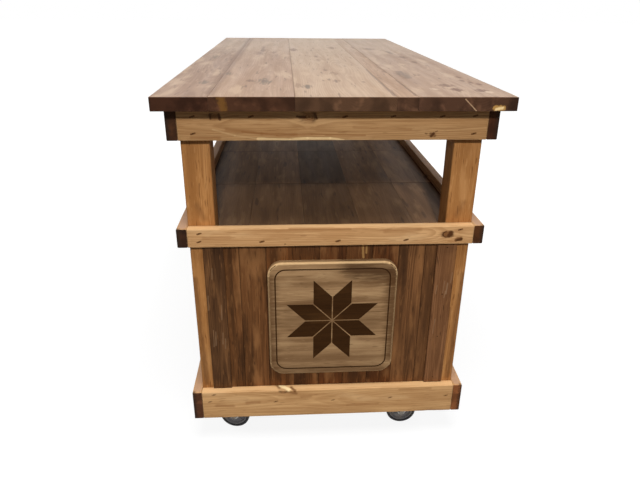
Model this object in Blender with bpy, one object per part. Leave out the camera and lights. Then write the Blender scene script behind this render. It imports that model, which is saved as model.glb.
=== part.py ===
"""Rolling storage cart: a plank-topped wooden work cart on four swivel casters.

Metres, +Z up. The cart stands on z = 0 with its length along Y and its width along X, and its
middle is over the origin. The end that carries the plaque, called the front, faces -Y.
"""
import math

import bmesh
import bpy
from mathutils import Matrix

# Fits and edges
FIT = 0.0003             # gap between wooden or metal pieces that touch
EASE = 0.0015            # chamfer on the edges of sawn boards
LEG_EASE = 0.0025        # chamfer on the corners of the legs

# Top: planks laid along the cart, the last one taking up the rest of the width
TOP_W = 0.914
TOP_L = 2.008
TOP_T = 0.035
PLANK_WIDTHS = (0.141, 0.212, 0.254, 0.054)
OVERHANG_END = 0.051
OVERHANG_SIDE = 0.022

# Three bands of rails round four legs
RAIL_T = 0.0286
APRON_H = 0.085
MID_H = 0.056
BASE_H = 0.102
LEG = 0.077
SHELF_BAY_H = 0.2477     # clear height from the middle rails to the aprons
LOWER_BAY_H = 0.5063     # clear height from the base rails to the middle rails

# Shelf, deck and what carries them
SHELF_T = 0.018
SHELF_DROP = 0.032       # shelf surface below the top of the middle rails
SHELF_SHEETS = 4
BEARER_W = 0.045
BEARER_H = 0.038
DECK_T = 0.018
DECK_BEARER_W = 0.089
BOLSTER_W = 0.140
BOLSTER_T = 0.038

# Closed lower ends
PANEL_T = 0.016
PANEL_BOARD_W = 0.078    # upright boards, the outer ones cut to fit between the legs
PANEL_SEAM_X = 0.044     # seam that the boards are laid out from, right of the middle
PANEL_TOP_DROP = 0.012   # top of the panel below the top of the middle rail that hides it
SEAM = 0.0025            # depth and half width of the V between two panel boards
TRIM_W = 0.058
TRIM_T = 0.008
LEG_SHOW = 0.0365        # strip of each leg left bare outside its trim
PLAQUE_W = 0.385
PLAQUE_H = 0.392
PLAQUE_T = 0.020
PLAQUE_R = 0.043
PLAQUE_ROUND = 0.006     # round-over of the plaque's front edge
PLAQUE_SHIFT = 0.005     # plaque's middle to the right of the cart's

# Casters, from the floor up
WHEEL_D = 0.100
TYRE_W = 0.030
TYRE_WALL = 0.009
WHEEL_SIDES = 32
HUB_W = 0.034
HUB_R = 0.013
WEB_T = 0.010
RIM_T = 0.005
AXLE_D = 0.0095
AXLE_RUN = 0.0004        # running clearance round the axle
HUB_PLAY = 0.0008        # side play between hub and fork
HEX_R = 0.0082           # across-corner radius of bolt head and nut
HEX_T = 0.006
TRAIL = 0.028            # axle behind the king pin
FORK_SHEET = 0.003
FORK_EYE_R = 0.013       # rounded end of each fork arm
FORK_BEND = 0.006        # outer radius of the bends between crown and arms
CROWN_FRONT = 0.026      # crown ahead of and behind the king pin
CROWN_BACK = 0.030
CROWN_SKIRT = 0.008      # straight part of the arms under the crown
CROWN_CLEAR = 0.0095     # crown above the tyre
RACE_R = 0.025
RACE_H = 0.006
SWIVEL_GAP = 0.0004
CUP_R = 0.028
CUP_H = 0.007
CUP_WALL = 0.005
PIN_R = 0.006
PIN_RUN = 0.0006
PIN_HEAD_R = 0.010
PIN_HEAD_T = 0.004
PLATE_W = 0.067
PLATE_L = 0.095
PLATE_T = 0.0032
PLATE_R = 0.008
SLOT_W = 0.0085
SLOT_L = 0.013
SLOT_EDGE = 0.011        # middle of each slot in from the plate's edges
CASTER_GAP = 0.007       # clear space between a swinging caster and the wood round it
SWING_CLEAR = 0.005      # wood above the tyres
# How far each caster is swung round, with 0 trailing to the right
SWIVEL_DEG = {"front_left": 169, "front_right": 178, "rear_left": 172, "rear_right": 176}

# Heights that follow from the sizes above
CROWN_UNDER = WHEEL_D + CROWN_CLEAR
CROWN_TOP = CROWN_UNDER + FORK_SHEET
RACE_TOP = CROWN_TOP + RACE_H
CUP_UNDER = RACE_TOP + SWIVEL_GAP
PLATE_UNDER = CUP_UNDER + CUP_H
CASTER_H = PLATE_UNDER + PLATE_T
BASE_Z = WHEEL_D + SWING_CLEAR
BASE_TOP = BASE_Z + BASE_H
MID_Z = BASE_TOP + LOWER_BAY_H
MID_TOP = MID_Z + MID_H
APRON_Z = MID_TOP + SHELF_BAY_H
APRON_TOP = APRON_Z + APRON_H
TOP_Z = APRON_TOP + FIT
BOLSTER_Z = CASTER_H + FIT
BOLSTER_TOP = BOLSTER_Z + BOLSTER_T
DECK_Z = BOLSTER_TOP + FIT
SHELF_TOP = MID_TOP - SHELF_DROP
SHELF_Z = SHELF_TOP - SHELF_T

# Plan positions, each measured from the middle of the cart
FRAME_X = TOP_W / 2 - OVERHANG_SIDE
FRAME_Y = TOP_L / 2 - OVERHANG_END
RAIL_IN_X = FRAME_X - RAIL_T
RAIL_IN_Y = FRAME_Y - RAIL_T
LEG_OUT_X = RAIL_IN_X - FIT
LEG_OUT_Y = RAIL_IN_Y - FIT
LEG_IN_X = LEG_OUT_X - LEG
LEG_IN_Y = LEG_OUT_Y - LEG
PANEL_IN_Y = LEG_OUT_Y - PANEL_T
FORK_IN = HUB_W / 2 + HUB_PLAY
FORK_OUT = FORK_IN + FORK_SHEET
SWING_R = math.hypot(max(CROWN_FRONT, CROWN_BACK), FORK_OUT)
CASTER_X = LEG_IN_X - max(PLATE_W / 2, SWING_R) - CASTER_GAP
CASTER_Y = RAIL_IN_Y - max(PLATE_L / 2, SWING_R) - CASTER_GAP

# Corners of the cart by name, as signs along X and Y
CORNERS = {"front_left": (-1, -1), "front_right": (1, -1), "rear_left": (-1, 1), "rear_right": (1, 1)}
ENDS = {"front": -1, "rear": 1}
SIDES = {"left": -1, "right": 1}


def material(name, colour, roughness, metallic=0.0):
    """A plain surface for one kind of piece."""
    mat = bpy.data.materials.new(name)
    mat.use_nodes = True
    shader = mat.node_tree.nodes["Principled BSDF"]
    shader.inputs["Base Color"].default_value = (*colour, 1.0)
    shader.inputs["Roughness"].default_value = roughness
    shader.inputs["Metallic"].default_value = metallic
    mat.diffuse_color = (*colour, 1.0)
    return mat


def place(name, mesh, mat, location=(0, 0, 0), turn=0.0, parent=None):
    """Put a mesh in the scene as one named piece."""
    if not mesh.materials:
        mesh.materials.append(mat)
    piece = bpy.data.objects.new(name, mesh)
    piece.location = location
    piece.rotation_euler = (0, 0, turn)
    piece.parent = parent
    bpy.context.scene.collection.objects.link(piece)
    return piece


def finish_mesh(name, shape, smooth=False):
    """Turn a bmesh into a mesh with outward faces, smooth where it is round."""
    bmesh.ops.recalc_face_normals(shape, faces=shape.faces)
    mesh = bpy.data.meshes.new(name)
    shape.to_mesh(mesh)
    shape.free()
    if smooth:
        mesh.shade_smooth()
        mesh.set_sharp_from_angle(angle=math.radians(35))
    return mesh


def ease_edges(piece, width):
    """Chamfer every sharp edge of a wooden piece."""
    bevel = piece.modifiers.new("eased edges", "BEVEL")
    bevel.width = width
    bevel.segments = 1
    bevel.limit_method = "ANGLE"
    bevel.angle_limit = math.radians(60)
    return piece


def board(name, low, high, mat, ease=EASE):
    """A straight sawn piece between two opposite corners, with its origin in its middle."""
    size = [b - a for a, b in zip(low, high)]
    middle = [(a + b) / 2 for a, b in zip(low, high)]
    shape = bmesh.new()
    bmesh.ops.create_cube(shape, size=1.0)
    bmesh.ops.scale(shape, vec=size, verts=shape.verts)
    piece = place(name, finish_mesh(name, shape), mat, middle)
    return ease_edges(piece, ease)


def extrude_outline(outline, low, high):
    """A bmesh prism: an outline in the XY plane pulled up from one height to another."""
    shape = bmesh.new()
    corners = [shape.verts.new((x, y, low)) for x, y in outline]
    face = shape.faces.new(corners)
    pulled = bmesh.ops.extrude_face_region(shape, geom=[face])
    risen = [v for v in pulled["geom"] if isinstance(v, bmesh.types.BMVert)]
    bmesh.ops.translate(shape, vec=(0, 0, high - low), verts=risen)
    return shape


def arc(cx, cy, radius, start_deg, end_deg, steps):
    """Points along an arc, both ends included."""
    turns = [start_deg + (end_deg - start_deg) * i / steps for i in range(steps + 1)]
    return [(cx + radius * math.cos(math.radians(t)), cy + radius * math.sin(math.radians(t))) for t in turns]


def rounded_rectangle(width, height, radius, steps=6):
    """Outline of a rectangle with round corners about its own middle."""
    x, y = width / 2 - radius, height / 2 - radius
    outline = []
    for quarter, (sx, sy) in enumerate(((1, 1), (-1, 1), (-1, -1), (1, -1))):
        outline += arc(sx * x, sy * y, radius, 90 * quarter, 90 * quarter + 90, steps)
    return outline


def lathe(profile, sides, along="Z", first_flat=False):
    """Spin a closed profile of (radius, height) points once round an axis."""
    shape = bmesh.new()
    start = math.pi / sides if first_flat else 0.0
    ring = [shape.verts.new((r * math.cos(start), r * math.sin(start), h)) for r, h in profile]
    edges = [shape.edges.new((ring[i - 1], ring[i])) for i in range(len(ring))]
    bmesh.ops.spin(shape, geom=ring + edges, cent=(0, 0, 0), axis=(0, 0, 1), angle=2 * math.pi,
                   steps=sides, use_merge=False, use_duplicate=False)
    bmesh.ops.remove_doubles(shape, verts=shape.verts, dist=1e-6)
    bmesh.ops.dissolve_degenerate(shape, edges=shape.edges, dist=1e-7)
    if along == "Y":
        bmesh.ops.rotate(shape, matrix=Matrix.Rotation(math.pi / 2, 3, "X"), verts=shape.verts)
    return shape


def combine(name, body, changes, smooth=True):
    """Join and cut a body with other shapes, in order, and give the finished mesh.

    Each change is a pair of a Boolean operation and the bmesh it works with.
    """
    target = bpy.data.objects.new(name, finish_mesh(name, body))
    bpy.context.scene.collection.objects.link(target)
    helpers = []
    for step, (operation, shape) in enumerate(changes):
        helper = bpy.data.objects.new(f"{name} tool {step}", finish_mesh(f"{name} tool {step}", shape))
        helper.hide_render = True
        helper.display_type = "WIRE"
        bpy.context.scene.collection.objects.link(helper)
        helpers.append(helper)
        change = target.modifiers.new(f"{operation} {step}", "BOOLEAN")
        change.operation = operation
        change.object = helper
    graph = bpy.context.evaluated_depsgraph_get()
    mesh = bpy.data.meshes.new_from_object(target.evaluated_get(graph))
    mesh.name = name
    for leftover in helpers + [target]:
        bpy.data.objects.remove(leftover)
    if smooth:
        mesh.shade_smooth()
        mesh.set_sharp_from_angle(angle=math.radians(35))
    return mesh


def build_top(mat):
    """Planks side by side, a touch apart, the last one filling the width that is left."""
    widths = list(PLANK_WIDTHS) + [TOP_W - sum(PLANK_WIDTHS)]
    left = -TOP_W / 2
    for number, width in enumerate(widths, start=1):
        first, last = number == 1, number == len(widths)
        low = (left + (0 if first else FIT / 2), -TOP_L / 2, TOP_Z)
        high = (left + width - (0 if last else FIT / 2), TOP_L / 2, TOP_Z + TOP_T)
        board(f"top_board_{number}", low, high, mat)
        left += width


def build_legs(mat):
    """Square posts in the inner corners of the rails, from the skirt's lower edge to the top."""
    for corner, (sx, sy) in CORNERS.items():
        xs = sorted((sx * LEG_IN_X, sx * LEG_OUT_X))
        ys = sorted((sy * LEG_IN_Y, sy * LEG_OUT_Y))
        board(f"leg_{corner}", (xs[0], ys[0], BASE_Z), (xs[1], ys[1], APRON_TOP), mat, LEG_EASE)


def build_band(kind, low, high, mat):
    """One band of rails: long rails run right through and the short ones fit between them."""
    for side, sx in SIDES.items():
        xs = sorted((sx * RAIL_IN_X, sx * FRAME_X))
        board(f"{kind}_{side}", (xs[0], -FRAME_Y, low), (xs[1], FRAME_Y, high), mat)
    for end, sy in ENDS.items():
        ys = sorted((sy * RAIL_IN_Y, sy * FRAME_Y))
        reach = RAIL_IN_X - FIT
        board(f"{kind}_{end}", (-reach, ys[0], low), (reach, ys[1], high), mat)


def leg_notched(y_from, y_to):
    """Outline of a sheet between the long rails, cut out round each leg that it meets."""
    half = RAIL_IN_X - FIT
    waist = LEG_IN_X - FIT
    stop = LEG_IN_Y - FIT
    right = [(half, max(y_from, -stop)), (half, min(y_to, stop))]
    if y_from < -stop:
        right = [(waist, y_from), (waist, -stop)] + right
    if y_to > stop:
        right = right + [(waist, stop), (waist, y_to)]
    left = [(-x, y) for x, y in reversed(right)]
    return right + left


def notched_sheet(name, y_from, y_to, low, high, mat):
    """A flat sheet that lies between the rails and round the legs."""
    mesh = finish_mesh(name, extrude_outline(leg_notched(y_from, y_to), low, high))
    return ease_edges(place(name, mesh, mat), EASE)


def build_shelf(sheet_mat, bearer_mat):
    """Sheets laid end to end between the two end panels, with a bearer under each seam."""
    reach = PANEL_IN_Y - FIT
    length = 2 * reach / SHELF_SHEETS
    for number in range(SHELF_SHEETS):
        y_from = -reach + number * length + (FIT / 2 if number else 0)
        y_to = -reach + (number + 1) * length - (FIT / 2 if number < SHELF_SHEETS - 1 else 0)
        notched_sheet(f"shelf_sheet_{number + 1}", y_from, y_to, SHELF_Z, SHELF_TOP, sheet_mat)
    half = RAIL_IN_X - FIT
    for number in range(1, SHELF_SHEETS):
        seam = -reach + number * length
        low = (-half, seam - BEARER_W / 2, SHELF_Z - FIT - BEARER_H)
        high = (half, seam + BEARER_W / 2, SHELF_Z - FIT)
        board(f"shelf_bearer_{number}", low, high, bearer_mat)


def build_bottom(deck_mat, wood_mat):
    """Deck of the storage bay on a bolster at each end, which the casters hold up, and a bearer."""
    reach = PANEL_IN_Y - FIT
    notched_sheet("deck", -reach, reach, DECK_Z, DECK_Z + DECK_T, deck_mat)
    half = RAIL_IN_X - FIT
    low = (-half, -DECK_BEARER_W / 2, BOLSTER_Z)
    board("deck_bearer", low, (half, DECK_BEARER_W / 2, BOLSTER_TOP), wood_mat)
    half = LEG_IN_X - FIT
    for end, sy in ENDS.items():
        ys = sorted((sy * LEG_OUT_Y, sy * (LEG_OUT_Y - BOLSTER_W)))
        board(f"caster_bolster_{end}", (-half, ys[0], BOLSTER_Z), (half, ys[1], BOLSTER_TOP), wood_mat)


def grooved_panel_outline(outer_y, inner_y):
    """Plan of a boarded panel: V seams along its outer face, flat on the inside."""
    half = LEG_IN_X - FIT
    inward = math.copysign(SEAM, inner_y - outer_y)
    outline = [(half, inner_y), (-half, inner_y), (-half, outer_y)]
    reach = math.ceil((half + abs(PANEL_SEAM_X)) / PANEL_BOARD_W)
    for number in range(-reach, reach + 1):
        x = PANEL_SEAM_X + number * PANEL_BOARD_W
        if abs(x) + 2 * SEAM < half:
            outline += [(x - SEAM, outer_y), (x, outer_y + inward), (x + SEAM, outer_y)]
    return outline + [(half, outer_y)]


def build_closed_ends(panel_mat, trim_mat):
    """Boarded panels that stand on the bolsters between the legs, and trims over their joints."""
    for end, sy in ENDS.items():
        outline = grooved_panel_outline(sy * LEG_OUT_Y, sy * PANEL_IN_Y)
        shape = extrude_outline(outline, BOLSTER_TOP + FIT, MID_TOP - PANEL_TOP_DROP)
        place(f"end_panel_{end}", finish_mesh(f"end_panel_{end}", shape), panel_mat)
        ys = sorted((sy * RAIL_IN_Y, sy * (RAIL_IN_Y + TRIM_T)))
        for side, sx in SIDES.items():
            outer = LEG_OUT_X - LEG_SHOW
            xs = sorted((sx * outer, sx * (outer - TRIM_W)))
            low = (xs[0], ys[0], BASE_TOP + FIT)
            board(f"trim_{end}_{side}", low, (xs[1], ys[1], MID_Z - FIT), trim_mat)


def build_plaque(mat):
    """Thick wooden plate with round corners and a rounded-over front edge, on the front panel."""
    shape = extrude_outline(rounded_rectangle(PLAQUE_W, PLAQUE_H, PLAQUE_R), 0, PLAQUE_T)
    rim = [e for e in shape.edges if all(v.co.z > PLAQUE_T / 2 for v in e.verts)]
    bmesh.ops.bevel(shape, geom=rim, offset=PLAQUE_ROUND, segments=3, profile=0.5, affect="EDGES")
    bmesh.ops.rotate(shape, matrix=Matrix.Rotation(math.pi / 2, 3, "X"), verts=shape.verts)
    middle = (PLAQUE_SHIFT, -RAIL_IN_Y, (BASE_TOP + MID_Z) / 2)
    place("plaque", finish_mesh("plaque", shape, smooth=True), mat, middle)


def caster_plate_mesh():
    """Top plate with slots, the pressed cup under it and the king pin with its riveted head."""
    sink = PLATE_T / 2
    head_top = CROWN_UNDER - SWIVEL_GAP
    cup_and_pin = [
        (0, PLATE_UNDER + sink), (CUP_R, PLATE_UNDER + sink), (CUP_R, PLATE_UNDER - CUP_H / 2),
        (CUP_R - CUP_WALL / 2, CUP_UNDER), (CUP_R - CUP_WALL, CUP_UNDER), (CUP_R - 2 * CUP_WALL, PLATE_UNDER),
        (PIN_R, PLATE_UNDER), (PIN_R, head_top), (PIN_HEAD_R, head_top),
        (PIN_HEAD_R, head_top - PIN_HEAD_T / 2), (PIN_R, head_top - PIN_HEAD_T), (0, head_top - PIN_HEAD_T)]
    plate = extrude_outline(rounded_rectangle(PLATE_W, PLATE_L, PLATE_R, 3), PLATE_UNDER, CASTER_H)
    changes = [("UNION", lathe(cup_and_pin, 24))]
    for sx, sy in CORNERS.values():
        slot = extrude_outline(rounded_rectangle(SLOT_W, SLOT_L, SLOT_W / 2, 3),
                               PLATE_UNDER - PLATE_T, CASTER_H + PLATE_T)
        where = (sx * (PLATE_W / 2 - SLOT_EDGE), sy * (PLATE_L / 2 - SLOT_EDGE), 0)
        bmesh.ops.translate(slot, vec=where, verts=slot.verts)
        changes.append(("DIFFERENCE", slot))
    return combine("caster_plate", plate, changes)


def tangent_deg(px, pz, cx, cz, radius, side):
    """Angle on a circle where the line from an outside point touches it, on one side of that line."""
    away = math.atan2(pz - cz, px - cx)
    return math.degrees(away + side * math.acos(radius / math.hypot(px - cx, pz - cz)))


def fork_mesh():
    """Pressed fork: a crown with a raised race, bent down into two arms that taper to the axle."""
    axle_z = WHEEL_D / 2
    skirt = CROWN_TOP - CROWN_SKIRT
    back = tangent_deg(CROWN_BACK, skirt, TRAIL, axle_z, FORK_EYE_R, -1)
    front = tangent_deg(-CROWN_FRONT, skirt, TRAIL, axle_z, FORK_EYE_R, 1)
    eye = arc(TRAIL, axle_z, FORK_EYE_R, front - 360 if front > back else front, back, 10)
    outline = [(-CROWN_FRONT, skirt)] + eye + [(CROWN_BACK, skirt), (CROWN_BACK, CROWN_TOP), (-CROWN_FRONT, CROWN_TOP)]
    body = extrude_outline(outline, -FORK_OUT, FORK_OUT)
    bmesh.ops.rotate(body, matrix=Matrix.Rotation(math.pi / 2, 3, "X"), verts=body.verts)
    bends = [e for e in body.edges if all(v.co.z > CROWN_TOP - FORK_SHEET / 2 for v in e.verts)
             and abs(e.verts[0].co.y - e.verts[1].co.y) < FORK_SHEET]
    bmesh.ops.bevel(body, geom=bends, offset=FORK_BEND, segments=3, profile=0.5, affect="EDGES")
    inside_r = max(FORK_BEND - FORK_SHEET, FORK_SHEET / 3)
    hollow = bmesh.new()
    bmesh.ops.create_cube(hollow, size=1.0)
    reach = 2 * (WHEEL_D + TRAIL)
    bmesh.ops.scale(hollow, vec=(reach, 2 * FORK_IN, CROWN_UNDER), verts=hollow.verts)
    bmesh.ops.translate(hollow, vec=(0, 0, CROWN_UNDER / 2), verts=hollow.verts)
    corners = [e for e in hollow.edges if all(v.co.z > CROWN_UNDER / 2 for v in e.verts)
               and abs(e.verts[0].co.y - e.verts[1].co.y) < FORK_SHEET]
    bmesh.ops.bevel(hollow, geom=corners, offset=inside_r, segments=2, profile=0.5, affect="EDGES")
    hole = PIN_R + PIN_RUN
    sink = FORK_SHEET / 2
    race = [(hole + RACE_H / 2, CROWN_TOP - sink), (hole, RACE_TOP), (RACE_R - RACE_H / 2, RACE_TOP),
            (RACE_R, CROWN_TOP + RACE_H / 3), (RACE_R, CROWN_TOP - sink)]
    pin_hole = lathe([(0, CROWN_UNDER - sink), (hole, CROWN_UNDER - sink), (hole, RACE_TOP + sink),
                      (0, RACE_TOP + sink)], 24)
    eye_hole = lathe([(0, -2 * FORK_OUT), (AXLE_D / 2 + FIT, -2 * FORK_OUT),
                      (AXLE_D / 2 + FIT, 2 * FORK_OUT), (0, 2 * FORK_OUT)], 16, "Y")
    bmesh.ops.translate(eye_hole, vec=(TRAIL, 0, axle_z), verts=eye_hole.verts)
    return combine("fork", body, [("DIFFERENCE", hollow), ("UNION", lathe(race, 24)),
                                  ("DIFFERENCE", pin_hole), ("DIFFERENCE", eye_hole)])


def axle_mesh():
    """Hexagon bolt with its nut, clamped on the outside of the two fork arms."""
    face = FORK_OUT + FIT
    end = face + HEX_T + AXLE_D / 4
    shank = lathe([(0, -face - HEX_T / 2), (AXLE_D / 2, -face - HEX_T / 2), (AXLE_D / 2, end - AXLE_D / 8),
                   (AXLE_D / 3, end), (0, end)], 16, "Y")
    changes = []
    for side in (-1, 1):
        near, far = sorted((side * face, side * (face + HEX_T)))
        changes.append(("UNION", lathe([(0, near), (HEX_R, near), (HEX_R, far), (0, far)], 6, "Y")))
    return combine("axle", shank, changes)


def wheel_core_mesh():
    """Turned core: hub, thinner web and a rim that the tyre is bonded to."""
    rim_r = WHEEL_D / 2 - TYRE_WALL
    bore = AXLE_D / 2 + AXLE_RUN
    rim_half = TYRE_W / 2 - RIM_T / 3
    half = [(bore, HUB_W / 2), (HUB_R, HUB_W / 2), (HUB_R + WEB_T / 6, WEB_T / 2),
            (rim_r - 1.6 * RIM_T, WEB_T / 2), (rim_r - RIM_T, rim_half), (rim_r, rim_half)]
    profile = half + [(r, -h) for r, h in reversed(half)]
    return finish_mesh("wheel_core", lathe(profile, WHEEL_SIDES, "Y", first_flat=True), smooth=True)


def tyre_mesh():
    """Moulded tyre with straight walls, round shoulders and a nearly flat tread."""
    to_corner = 1 / math.cos(math.pi / WHEEL_SIDES)
    inner = (WHEEL_D / 2 - TYRE_WALL) + FIT
    outer = WHEEL_D / 2 * to_corner
    shoulder = TYRE_WALL / 3
    side = TYRE_W / 2
    half = [(inner, side - shoulder / 2), (inner + shoulder / 2, side), (outer - shoulder, side),
            (outer - shoulder / 3, side - shoulder / 3), (outer, side - shoulder)]
    profile = half + [(r, -h) for r, h in reversed(half)]
    return finish_mesh("tyre", lathe(profile, WHEEL_SIDES, "Y", first_flat=True), smooth=True)


def build_casters(plate_mat, fork_mat, axle_mat, core_mat, tyre_mat):
    """Four casters: plates on the bolsters, forks that swing on king pins, wheels on axles."""
    plate, fork, axle = caster_plate_mesh(), fork_mesh(), axle_mesh()
    core, tyre = wheel_core_mesh(), tyre_mesh()
    at_axle = (TRAIL, 0, WHEEL_D / 2)
    for corner, (sx, sy) in CORNERS.items():
        stand = (sx * CASTER_X, sy * CASTER_Y, 0)
        place(f"caster_plate_{corner}", plate, plate_mat, stand)
        swing = place(f"caster_fork_{corner}", fork, fork_mat, stand, math.radians(SWIVEL_DEG[corner]))
        place(f"axle_{corner}", axle, axle_mat, at_axle, parent=swing)
        wheel = place(f"wheel_core_{corner}", core, core_mat, at_axle, parent=swing)
        place(f"tyre_{corner}", tyre, tyre_mat, parent=wheel)


for old in list(bpy.data.objects):
    bpy.data.objects.remove(old)

build_top(material("top planks", (0.42, 0.27, 0.17), 0.45))
build_legs(material("leg pine", (0.40, 0.20, 0.080), 0.55))
build_band("apron", APRON_Z, APRON_TOP, material("apron pine", (0.40, 0.22, 0.095), 0.55))
build_band("mid_rail", MID_Z, MID_TOP, material("middle rail pine", (0.45, 0.26, 0.11), 0.55))
build_band("base_rail", BASE_Z, BASE_TOP, material("base rail pine", (0.42, 0.24, 0.10), 0.55))
build_shelf(material("shelf stain", (0.062, 0.037, 0.024), 0.40), material("bearer pine", (0.40, 0.22, 0.10), 0.6))
build_bottom(material("deck stain", (0.07, 0.04, 0.025), 0.50), material("bolster pine", (0.40, 0.22, 0.10), 0.6))
build_closed_ends(material("panel walnut", (0.118, 0.052, 0.022), 0.55),
                  material("trim walnut", (0.090, 0.040, 0.018), 0.55))
build_plaque(material("plaque wood", (0.22, 0.125, 0.056), 0.60))
build_casters(material("zinc plate", (0.55, 0.55, 0.56), 0.35, 1.0),
              material("fork steel", (0.50, 0.50, 0.52), 0.35, 1.0),
              material("axle steel", (0.62, 0.62, 0.63), 0.30, 1.0),
              material("grey core", (0.075, 0.077, 0.082), 0.50),
              material("black tyre", (0.015, 0.015, 0.016), 0.75))
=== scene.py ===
import math
import random

import bmesh
import bpy
from mathutils import Matrix, Vector, noise


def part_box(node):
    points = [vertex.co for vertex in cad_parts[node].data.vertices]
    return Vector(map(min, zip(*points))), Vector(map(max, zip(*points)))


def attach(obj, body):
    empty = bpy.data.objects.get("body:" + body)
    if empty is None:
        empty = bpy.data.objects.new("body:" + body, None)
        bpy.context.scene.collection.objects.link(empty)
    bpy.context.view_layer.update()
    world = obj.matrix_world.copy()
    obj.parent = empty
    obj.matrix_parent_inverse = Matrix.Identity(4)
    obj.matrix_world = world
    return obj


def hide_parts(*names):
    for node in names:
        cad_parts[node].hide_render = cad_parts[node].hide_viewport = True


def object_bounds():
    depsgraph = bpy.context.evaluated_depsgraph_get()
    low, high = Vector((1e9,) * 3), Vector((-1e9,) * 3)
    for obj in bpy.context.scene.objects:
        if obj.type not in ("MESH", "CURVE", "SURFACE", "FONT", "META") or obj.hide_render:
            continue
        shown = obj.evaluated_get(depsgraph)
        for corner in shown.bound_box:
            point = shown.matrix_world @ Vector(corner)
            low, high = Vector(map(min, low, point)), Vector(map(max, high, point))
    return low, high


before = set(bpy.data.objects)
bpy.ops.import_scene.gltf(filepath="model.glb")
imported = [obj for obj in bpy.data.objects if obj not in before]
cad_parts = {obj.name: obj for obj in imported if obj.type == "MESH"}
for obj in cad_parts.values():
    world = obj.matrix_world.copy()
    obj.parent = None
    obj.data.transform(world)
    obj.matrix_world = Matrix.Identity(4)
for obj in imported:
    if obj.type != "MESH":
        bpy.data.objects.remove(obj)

cad_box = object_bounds()

# Legs
# Four square pine posts, planed, stained golden orange and oiled. Each stands in the inner corner
# of the rails, which are nailed to it from outside, and its corners are eased and a little bruised.
CORNERS = ("front_left", "front_right", "rear_left", "rear_right")
AXIS = {"X": 0, "Y": 1, "Z": 2}
LEG_EASE = 0.0030
LEG_WEAR = 0.0009
RING_STEP = 0.018        # distance between two rings of points along a board
FINE_WEAR = 34           # small and wide waves to the metre along a worn edge
SLOW_WEAR = 8
DEEPEST = 0.9            # deepest wear on an edge, as a share of its radius
EDGE_REACH = 0.004       # how far in from an edge the wood is rubbed
RELIEF = 0.0004          # depth of the grain


def paint(red, green, blue):
    """A colour written as a painter reads it off a card, 0 to 255, as the light value a shader takes."""
    parts = (red / 255, green / 255, blue / 255)
    return tuple(c / 12.92 if c <= 0.04045 else ((c + 0.055) / 1.055) ** 2.4 for c in parts) + (1.0,)


def stain(**tones):
    """Tones of a stained wood: early and late growth, streaks, pale patches, knots, edges and ends."""
    return {part: paint(*tone) for part, tone in tones.items()}


def shade(tone, share):
    """A tone made lighter or darker."""
    return tuple(c * share for c in tone[:3]) + (1.0,)


def worn_profile(half_a, half_b, radius, steps=4):
    """Cross-section of a board with round corners: (a, b, normal a, normal b, corner, wear share)."""
    points = []
    corners = ((1, 1), (-1, 1), (-1, -1), (1, -1))
    flat_a, flat_b = half_a - radius, half_b - radius
    for number, (side_a, side_b) in enumerate(corners):
        for i in range(steps + 1):
            turn = math.radians(90 * number + 90 * i / steps)
            na, nb = math.cos(turn), math.sin(turn)
            share = 1 - abs(2 * i / steps - 1) * 0.6
            a, b = side_a * flat_a + radius * na, side_b * flat_b + radius * nb
            points.append((a, b, na, nb, number, share))
        next_a, next_b = corners[(number + 1) % 4]
        run_a, run_b = next_a * flat_a + radius * na - a, next_b * flat_b + radius * nb - b
        for t in (0.04, 0.96):
            points.append((a + run_a * t, b + run_b * t, na, nb, number, 0))
    return points


def loft(shape, rings, slot=0):
    """Skin a shape through rings that have as many points as each other, and close both ends."""
    rows = [[shape.verts.new(point) for point in ring] for ring in rings]
    faces = [shape.faces.new(rows[0][::-1]), shape.faces.new(rows[-1])]
    for near, far in zip(rows, rows[1:]):
        for i in range(len(near)):
            faces.append(shape.faces.new((near[i - 1], near[i], far[i], far[i - 1])))
    for face in faces:
        face.material_index = slot
    return shape


def saw_board(shape, low, high, along, ease, wear, seed, slot=0, nicks=3):
    """Add one board to a shape: flat faces, eased edges that are worn unevenly, and rounded ends."""
    middle, half = (low + high) / 2, (high - low) / 2
    u, a, b = AXIS[along], (AXIS[along] + 1) % 3, (AXIS[along] + 2) % 3
    chance = random.Random(seed)
    dents = []        # (place along the board, corner, depth and length in millimetres)
    for _ in range(nicks):
        at, corner = chance.uniform(-half[u], half[u]), chance.randrange(4)
        dents.append((at, corner, chance.uniform(0.4, 1.6), chance.uniform(3, 9)))
    turns = [math.pi / 2 * i / 3 for i in range(3, -1, -1)]
    rounded = [(0, 1.6 * ease)] + [(ease * (1 - math.sin(t)), ease * (1 - math.cos(t))) for t in turns]
    count = max(2, round(2 * (half[u] - ease) / RING_STEP))
    stations = [(-half[u] + reach, inset) for reach, inset in rounded]
    stations += [(-half[u] + ease + (2 * half[u] - 2 * ease) * i / count, 0) for i in range(1, count)]
    stations += [(half[u] - reach, inset) for reach, inset in reversed(rounded)]
    rings = []
    for reach, inset in stations:
        ring = []
        radius = max(ease - inset, ease / 9)
        for pa, pb, na, nb, corner, share in worn_profile(half[a] - inset, half[b] - inset, radius):
            fine = noise.noise(Vector((reach * FINE_WEAR, corner * 5.1, seed * 9.7)))
            slow = noise.noise(Vector((reach * SLOW_WEAR, corner * 3.3 + 20, seed * 4.1)))
            depth = wear * max(0, 0.25 + 0.4 * fine + 0.7 * slow)
            for at, side, deep, length in dents:
                if side == corner:
                    depth += 0.001 * deep * math.exp(-((reach - at) * 1000 / length) ** 2)
            depth = min(depth, DEEPEST * radius)
            point = middle.copy()
            point[u] += reach
            point[a] += pa - na * depth * share
            point[b] += pb - nb * depth * share
            ring.append(point)
        rings.append(ring)
    return loft(shape, rings, slot)


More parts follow.
